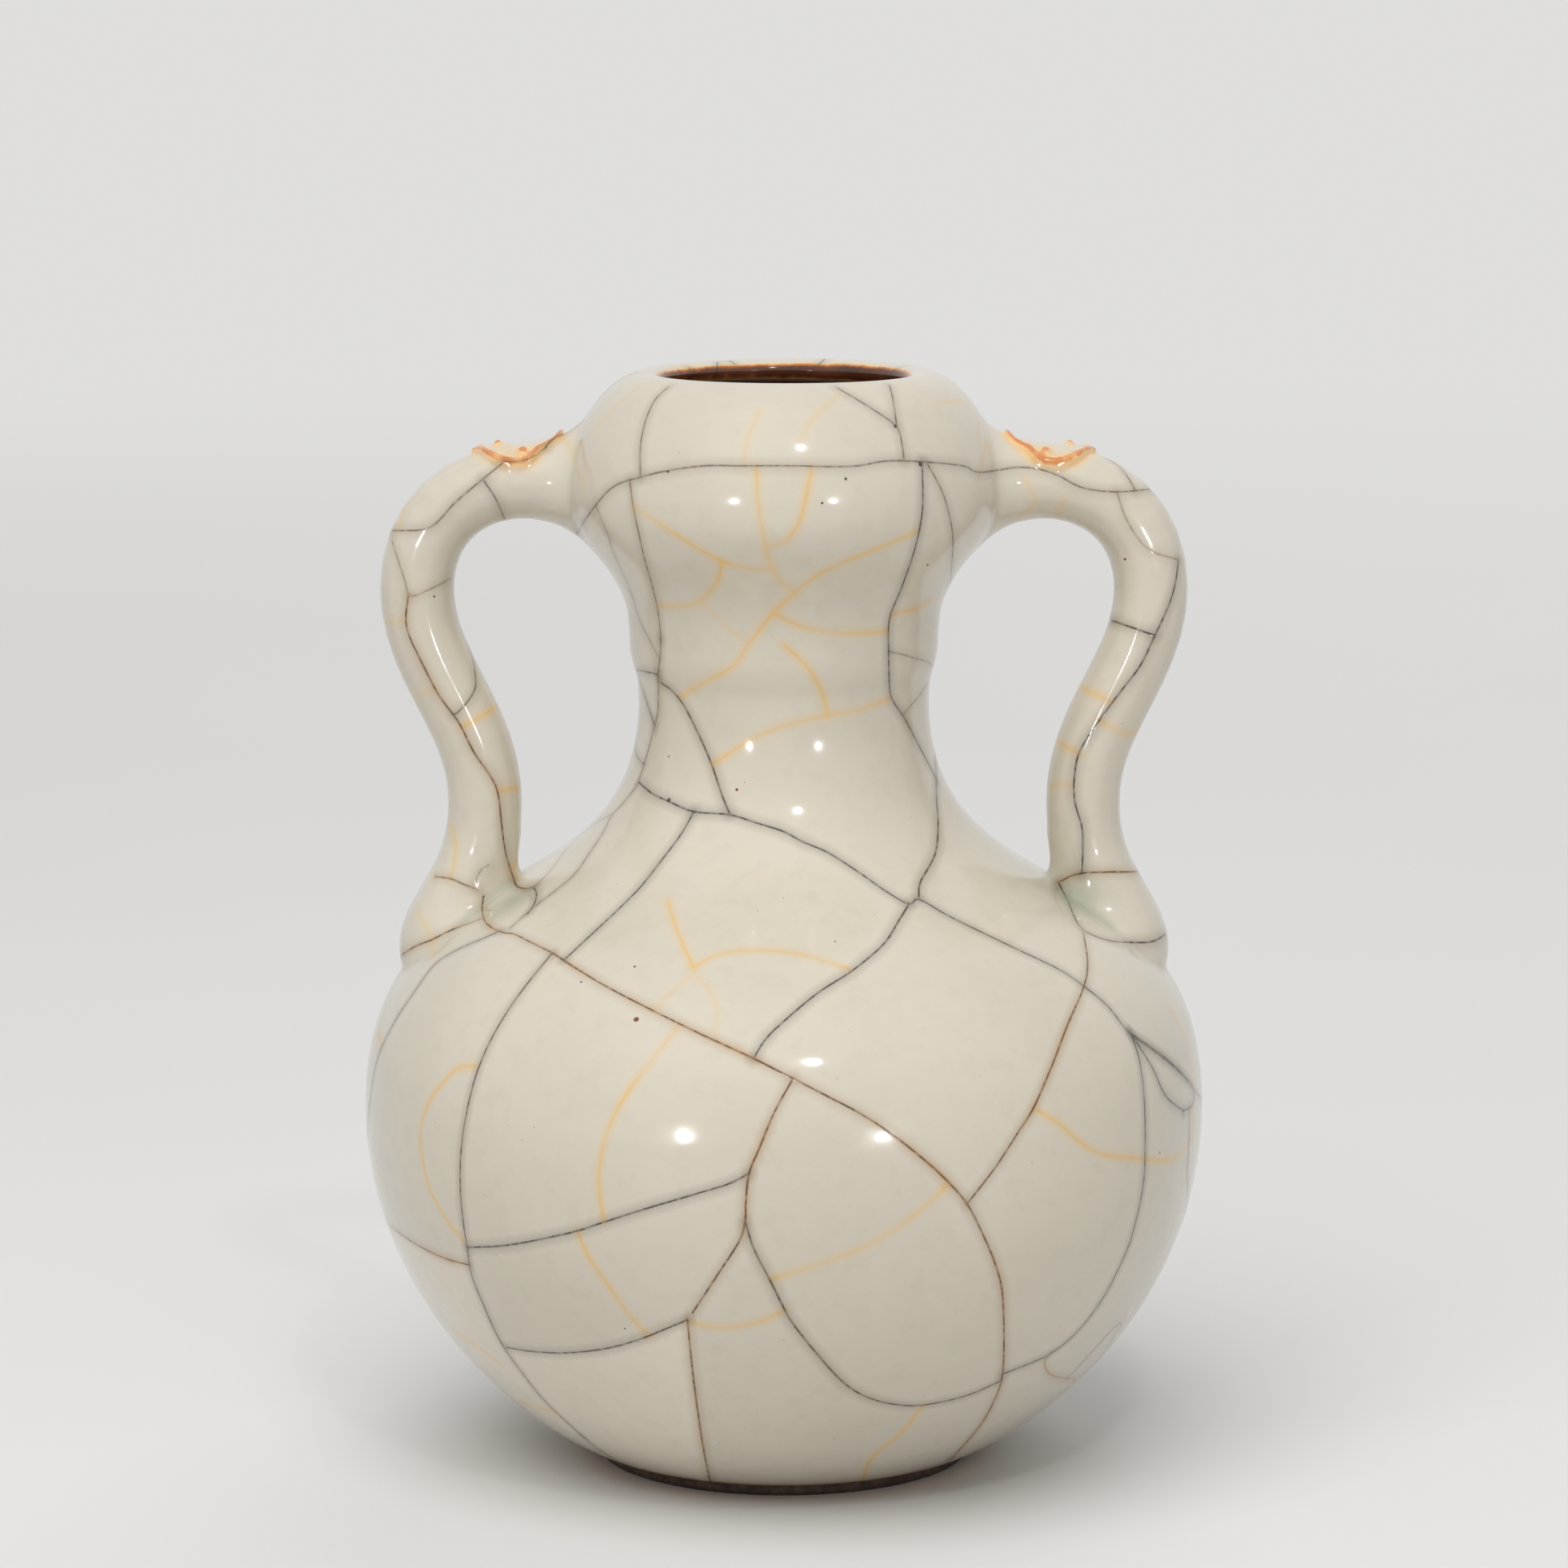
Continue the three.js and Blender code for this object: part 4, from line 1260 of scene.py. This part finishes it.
def ash_glaze(name, glaze, kiln, specks, gloss, softness):
    """Warm grey-white glaze with iron and gold crackle, rust on thin edges and brown inside, where lighter patches are
    painted as its sheen. Some cells carry painted light and shade, and creases painted shade.
    """
    s = Shader(name)
    colour = s.mix(s.fade(s.noise(22, 3), 0.38, 0.7), glaze.ash_colour, [0.94 * c for c in glaze.ash_colour])
    colour = s.mix(s.fade(s.noise(260, 4, 0.6), 0.45, 0.75, 0, 0.12), colour, glaze.pooled_glaze_and_shade_colour)
    edge = s.attribute("edge").outputs["Fac"]
    # Pooled glaze and painted shade: creases of the handles and sprigs are darkened towards the pooled colour.
    colour = s.mix(s.fade(edge, -0.1, -0.9, 0, 0.6), colour, glaze.pooled_glaze_and_shade_colour)
    # Pooled glaze and painted shade in the crease beside each lower root.
    colour = s.mix(s.math("MULTIPLY", s.attribute("pool").outputs["Fac"], 0.9), colour, glaze.pooled_glaze_and_shade_colour)
    speck = s.node("TexVoronoi", {"Vector": s.node("TexCoord").outputs["Object"], "Scale": 400.0})
    rare = s.fade(s.node("SeparateXYZ", {0: speck.outputs["Color"]}).outputs[0], 0.9, 0.92, 0, 0.65)
    dot = s.math("MULTIPLY", s.fade(speck.outputs["Distance"], 0.07, 0.04), rare)
    colour = s.mix(dot, colour, BROWN_CORE)
    # Each cell's tone scales the colour: a random tone of the glaze, or painted light and shade on the listed cells.
    level = s.math("ADD", 1.0, s.math("MULTIPLY", s.attribute("cell").outputs["Fac"], kiln.cell_tone))

    wander = s.noise(70, 2)
    for layer in range(GOLD_LAYERS):
        strength, _ = s.marks(f"gold_{layer}")
        share = s.math("MULTIPLY", s.fall(s.reach(f"gold_{layer}"), kiln.gold_reach), s.fade(wander, 0.3, 0.6, 0.5, 0.85))
        colour = s.mix(s.math("MULTIPLY", share, strength), colour, kiln.gold_colour)

    ragged = s.math("MULTIPLY", s.math("SUBTRACT", s.noise(1500, 2), 0.5), kiln.iron_width * 0.6)
    patches = s.fade(s.noise(45, 2), 0.36, 0.62, 0.5, 1.0)
    bold = s.fade(s.noise(620, 3), 0.38, 0.58, 0.5, 1.0)
    cores = 0.0
    brown = s.mix(s.fade(s.noise(330, 2), 0.48, 0.6), BROWN_CORE, kiln.iron_colour)
    core_colour = kiln.iron_colour
    for layer in range(IRON_LAYERS):
        way = s.reach(f"iron_{layer}")
        strength, stain = s.marks(f"iron_{layer}")
        shading = s.math("MULTIPLY", strength, s.fade(stain, 0, 1, -0.38, -0.2))
        dim = s.math("MULTIPLY", s.fall(way, kiln.shade_reach), shading)
        level = s.math("MULTIPLY", level, s.math("ADD", 1.0, dim))
        seep = s.math("MULTIPLY", s.math("MULTIPLY", s.fall(way, kiln.stain_reach), stain), patches)
        colour = s.mix(s.math("MULTIPLY", seep, 0.85), colour, kiln.stain_colour)
        core = s.fade(s.math("ADD", way, ragged), kiln.iron_width, kiln.iron_width * 0.2)
        core = s.math("MULTIPLY", s.math("MULTIPLY", core, bold), strength)
        cores = s.math("MAXIMUM", cores, core)
        near = s.fade(way, kiln.iron_width * 2, kiln.iron_width)
        core_colour = s.mix(s.math("MULTIPLY", near, stain), core_colour, brown)

    warm = s.attribute("warm").outputs["Fac"]
    halo = s.math("MULTIPLY", warm, s.fade(s.noise(260, 2), 0.3, 0.7, 0.7, 1.1))
    colour = s.mix(s.fade(halo, 0.12, 0.75, 0, 0.95), colour, glaze.amber_colour)
    crest = s.attribute("crest").outputs["Fac"]
    crest = s.math("ADD", crest, s.math("MULTIPLY", s.math("SUBTRACT", s.noise(420, 3), 0.5), 1.6))
    colour = s.mix(s.fade(crest, 0.3, 1.1, 0, 0.9), colour, glaze.rust_colour)
    hem = s.node("SeparateXYZ", {0: s.node("TexCoord").outputs["Object"]}).outputs[2]
    hem = s.math("ADD", hem, s.math("MULTIPLY", s.math("SUBTRACT", s.noise(240, 3), 0.5), 0.0012))
    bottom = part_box("lower_belly")[0].z
    colour = s.mix(s.fade(hem, bottom + 0.0022, bottom + 0.0008, 0, 0.75), colour, glaze.amber_colour)
    colour = s.mix(s.fade(hem, bottom + 0.0011, bottom, 0, 0.9), colour, glaze.rust_colour)
    inner = s.attribute("inner").outputs["Fac"]
    lip = s.math("ADD", inner, s.math("MULTIPLY", s.math("SUBTRACT", s.noise(420, 4), 0.5), 0.4))
    colour = s.mix(s.fade(lip, 0.12, 0.32), colour, glaze.amber_colour)
    colour = s.mix(s.fade(lip, 0.26, 0.44), colour, glaze.rust_colour)
    # Painted sheen: lighter patches in the brown inside stand in for its lustrous reflection, and partly mottle the
    # glaze.
    lustre_and_painted_sheen = s.mix(s.fade(s.noise(90, 4), 0.35, 0.7), glaze.inner_colour, [1.7 * c for c in glaze.inner_colour])
    colour = s.mix(s.fade(lip, 0.38, 0.66), colour, lustre_and_painted_sheen)
    colour = s.mix(s.math("MULTIPLY", cores, 0.95), colour, core_colour)
    for place, radius, stain in specks:
        here = s.node("TexCoord").outputs["Object"]
        off = s.node("VectorMath", {0: here, 1: place}, operation="DISTANCE").outputs["Value"]
        off = s.math("ADD", off, ragged)
        if stain > 0.5:
            colour = s.mix(s.fade(off, radius * 1.25, radius * 0.8, 0, 0.9), colour, RUST_SPOT)
        dot = [a + (b - a) * stain * 0.6 for a, b in zip(kiln.iron_colour, BROWN_CORE)]
        colour = s.mix(s.fade(off, radius, radius * 0.55, 0, 0.95), colour, dot)
    shade = s.node("VectorMath", {0: colour, 3: level}, operation="SCALE").outputs[0]

    s.put(s.skin.inputs["Base Color"], shade)
    s.put(s.skin.inputs["Roughness"], s.fade(s.noise(90, 3), 0.3, 0.7, 0.1, 0.17))
    s.skin.inputs["IOR"].default_value = 1.5
    s.skin.inputs["Coat Weight"].default_value = gloss
    s.skin.inputs["Coat Roughness"].default_value = softness
    wave = s.node("Bump", {"Height": s.noise(55, 2), "Strength": 0.35, "Distance": 0.0006})
    groove = s.node(
        "Bump", {"Height": s.math("MULTIPLY", cores, -1), "Strength": 0.3, "Distance": 0.0001,
                 "Normal": wave.outputs[0]})
    s.put(s.skin.inputs["Normal"], groove.outputs[0])
    return s.material


def iron_clay(glaze):
    """Bare clay, burnt dark iron brown."""
    s = Shader("iron_clay")
    colour = s.mix(s.fade(s.noise(300, 5, 0.65), 0.35, 0.7), glaze.foot_colour, [2.6 * c for c in glaze.foot_colour])
    s.put(s.skin.inputs["Base Color"], colour)
    s.put(s.skin.inputs["Roughness"], s.fade(s.noise(700, 3), 0.3, 0.7, 0.55, 0.85))
    grit = s.node("Bump", {"Height": s.noise(2200, 3), "Strength": 0.5, "Distance": 0.0001})
    s.put(s.skin.inputs["Normal"], grit.outputs[0])
    return s.material


class VASE_OT_glaze(bpy.types.Operator):
    """Glazes every piece and marks where the glaze runs thin, where it pools and is painted darker as shade in creases,
    and where it turns in at the mouth
    """

    bl_idname = "vase.glaze"
    bl_label = "Glaze the vase"

    def execute(self, context):
        glaze, kiln = context.scene.vase_glaze, context.scene.vase_crackle
        skin, camera = Skin(), context.scene.camera
        specks = [(skin.seen_at(camera, x, y), *rest) for x, y, *rest in SPECKS.values()]
        ash = ash_glaze("ash_glaze", glaze, kiln, specks, gloss=0.35, softness=0.04)
        rusty = ash_glaze("rusty_glaze", glaze, kiln, [], gloss=1.0, softness=0.1)
        edges = {piece.name: self.edges(piece) for piece in glazed_pieces()}
        crests = {glazed_name(side + "_ruyi_sprig"): self.crest(side) for side in SIDES}
        ridge = np.vstack([places(bpy.data.objects[name])[crest > 0.5] for name, crest in crests.items()])
        # Places of pooled glaze and painted crease shade, mirrored to the back.
        creases = [skin.seen_at(camera, x, y) for x, y in POOLS_AND_CREASE_SHADE.values()]
        creases += [Vector((p.x, -p.y, p.z)) for p in creases]
        for piece in glazed_pieces():
            attribute(piece, "edge", "FLOAT", edges[piece.name])
            attribute(piece, "inner", "FLOAT", self.inside(piece))
            attribute(piece, "warm", "FLOAT", self.closeness(piece, ridge, glaze.glow, 1))
            attribute(piece, "crest", "FLOAT", crests.get(piece.name, np.zeros(len(piece.data.vertices))))
            attribute(piece, "pool", "FLOAT", self.closeness(piece, creases, glaze.pool, 2))
            piece.data.materials.clear()
            piece.data.materials.append(rusty if "sprig" in piece.name else ash)
        foot = bpy.data.objects["bare_foot"]
        foot.data.materials.clear()
        foot.data.materials.append(iron_clay(glaze))
        return {"FINISHED"}

    def crest(self, side):
        """1 along the top of a sprig's border and on its beads, which stand above what is round them."""
        sprig, arm = (bpy.data.objects[glazed_name(side + part)] for part in ("_ruyi_sprig", "_handle"))
        height = np.maximum(heights_above(tree_of(arm), places(sprig)), 0)[:, None]
        breadth = 0.0011
        level = blurred(sprig, height, breadth)
        proud = (height - level)[:, 0]
        return ramp(proud / np.percentile(proud, 97), 0.15, 0.9) * ramp(height[:, 0], 0.0002, 0.0007)

    def closeness(self, piece, marks, reach, power):
        """1 at the nearest of the marks, and less and less away from it, for each vertex."""
        tree = KDTree(len(marks))
        for i, mark in enumerate(marks):
            tree.insert(mark, i)
        tree.balance()
        off = np.array([tree.find(place)[2] for place in places(piece)])
        return np.exp(-((off / reach) ** power))

    def edges(self, piece):
        """Above 0 on edges that stand out, below 0 in creases, for each vertex."""
        at = places(piece)
        if not any(part in piece.name for part in ("handle", "sprig")):
            return np.zeros(len(at))
        bend = ((at - averaged(piece, at, 1)) * normals(piece)).sum(1)[:, None]
        bend = averaged(piece, bend, 9)
        spread = np.percentile(np.abs(bend), 97)
        return np.clip(bend[:, 0] / spread, -1, 1)

    def inside(self, piece):
        """1 on the inside of the wall, 0 outside, and a rise between them over the lip."""
        at, out = places(piece), normals(piece)
        radius = np.hypot(at[:, 0], at[:, 1])
        inward = (at * out * (1, 1, 0)).sum(1) / np.maximum(radius, 1e-6) < 0.0
        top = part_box("garlic_mouth")[1].z
        over_lip = at[:, 2] > top - 0.008
        turning_in, turned_in = 0.0258, 0.0242
        lip = np.clip((turning_in - radius) / (turning_in - turned_in), 0, 1)
        if "mouth" in piece.name:
            return np.where(over_lip, lip, inward)
        if "handle" in piece.name or "sprig" in piece.name:
            return np.zeros(len(at))
        return np.where(at[:, 2] < 0.0035, 0, inward | ((out[:, 2] > 0.9) & (at[:, 2] < 0.02)))


def soft_lamp(name, place, aim, size, power):
    bpy.ops.object.light_add(type="AREA", location=place)
    lamp = bpy.context.object
    lamp.name = name
    lamp.data.shape = "DISK"
    lamp.data.size = size
    lamp.data.energy = power
    lamp.rotation_euler = (Vector(aim) - Vector(place)).to_track_quat("-Z", "Y").to_euler()
    lamp.visible_glossy = size < 1
    return lamp


class VASE_OT_stage(bpy.types.Operator):
    """Sets the plain floor, the soft lights and the camera of the photograph"""

    bl_idname = "vase.stage"
    bl_label = "Set the stage"

    def execute(self, context):
        stage = context.scene.vase_stage
        bpy.ops.object.camera_add(location=(0, -stage.camera_distance, stage.camera_height))
        camera = context.object
        camera.name = "photo_camera"
        aim = Vector((0, 0, stage.aim_height))
        camera.rotation_euler = (aim - camera.location).to_track_quat("-Z", "Y").to_euler()
        camera.data.lens = stage.focal_length
        camera.data.sensor_width = 36
        context.scene.camera = camera
        context.view_layer.update()
        self.floor(stage)
        self.lights(stage)
        return {"FINISHED"}

    def floor(self, stage):
        """A wide round floor that fades into the backdrop colour, alike on every side."""
        radius, vertices = 9.0, 96
        bpy.ops.object.select_all(action="DESELECT")
        bpy.ops.mesh.primitive_circle_add(vertices=vertices, radius=radius, fill_type="NGON")
        board = bpy.context.object
        board.name = "floor"
        editing(board, "SELECT")
        bpy.ops.mesh.inset(thickness=radius * 0.6)
        done_editing()
        s = Shader("pale_board")
        colour = s.mix(s.fade(s.noise(3, 2), 0.3, 0.7), stage.floor_colour, [0.985 * c for c in stage.floor_colour])
        s.put(s.skin.inputs["Base Color"], colour)
        s.skin.inputs["Roughness"].default_value = 0.85
        off = s.node("VectorMath", {0: s.node("TexCoord").outputs["Object"]}, operation="LENGTH").outputs["Value"]
        share = s.math("MULTIPLY", self.seen(s), s.fade(off, *stage.fade))
        glow = s.node("Emission", {"Color": stage.backdrop_colour})
        both = s.node("MixShader", {0: share, 1: s.skin.outputs[0], 2: glow.outputs[0]})
        s.put(s.tree.nodes["Material Output"].inputs["Surface"], both.outputs[0])
        board.data.materials.append(s.material)

    def seen(self, s):
        """1 where the camera sees the backdrop, itself or in a reflection."""
        rays = s.node("LightPath").outputs
        mirrored = s.math("MAXIMUM", rays["Is Glossy Ray"], rays["Is Transmission Ray"])
        return s.math("MAXIMUM", rays["Is Camera Ray"], mirrored)

    def lights(self, stage):
        soft_lamp("top_light", (-0.35, -1.1, 2.1), (0, 0, 0.1), 2.2, stage.top_power)
        soft_lamp("back_light", (0.7, 1.7, 1.6), (0, 0, 0.1), 2.0, stage.back_power)
        middle = Vector((0, 0, 0.16))
        away, breadth = 1.5, 0.09
        for name, turn, rise in (("high_light", 11, 43), ("left_light", -26, 4), ("right_light", 26, 4)):
            a, e = math.radians(turn), math.radians(rise)
            way = Vector((math.sin(a) * math.cos(e), -math.cos(a) * math.cos(e), math.sin(e)))
            soft_lamp(name, middle + way * away, middle, breadth, stage.spot_power)
        s = Shader("surround", bpy.data.worlds)
        sky = s.skin
        sky.inputs["Strength"].default_value = 1
        grey = [stage.surround] * 3
        s.put(sky.inputs["Color"], s.mix(self.seen(s), grey, stage.backdrop_colour))
        bpy.context.scene.world = s.material
        bpy.context.scene.view_settings.view_transform = "Standard"


STEPS = (
    VASE_OT_stage, VASE_OT_throw, VASE_OT_turn_foot, VASE_OT_lute_handles, VASE_OT_press_sprigs, VASE_OT_crackle,
    VASE_OT_glaze,
)
GROUPS = {
    "vase_throwing": ThrowingSettings,
    "vase_luting": LutingSettings,
    "vase_crackle": CrackleSettings,
    "vase_glaze": GlazeSettings,
    "vase_stage": StageSettings,
}


class VASE_PT_steps(bpy.types.Panel):
    """The steps of making the vase, in order"""

    bl_idname = "VASE_PT_steps"
    bl_label = "Garlic-mouth vase"
    bl_space_type = "VIEW_3D"
    bl_region_type = "UI"
    bl_category = "Vase"

    def draw(self, context):
        for step in STEPS:
            self.layout.operator(step.bl_idname)
        for name, group in GROUPS.items():
            box = self.layout.box()
            for setting in group.__annotations__:
                box.prop(getattr(context.scene, name), setting)


def register():
    for group in GROUPS.values():
        bpy.utils.register_class(group)
    for step in (*STEPS, VASE_PT_steps):
        bpy.utils.register_class(step)
    for name, group in GROUPS.items():
        setattr(bpy.types.Scene, name, PointerProperty(type=group))


def unregister():
    for name in GROUPS:
        delattr(bpy.types.Scene, name)
    for step in (VASE_PT_steps, *reversed(STEPS)):
        bpy.utils.unregister_class(step)
    for group in GROUPS.values():
        bpy.utils.unregister_class(group)


def main():
    register()
    bpy.ops.vase.stage()
    bpy.ops.vase.throw()
    bpy.ops.vase.turn_foot()
    bpy.ops.vase.lute_handles()
    bpy.ops.vase.press_sprigs()
    bpy.ops.vase.crackle()
    bpy.ops.vase.glaze()


if __name__ == "__main__":
    main()
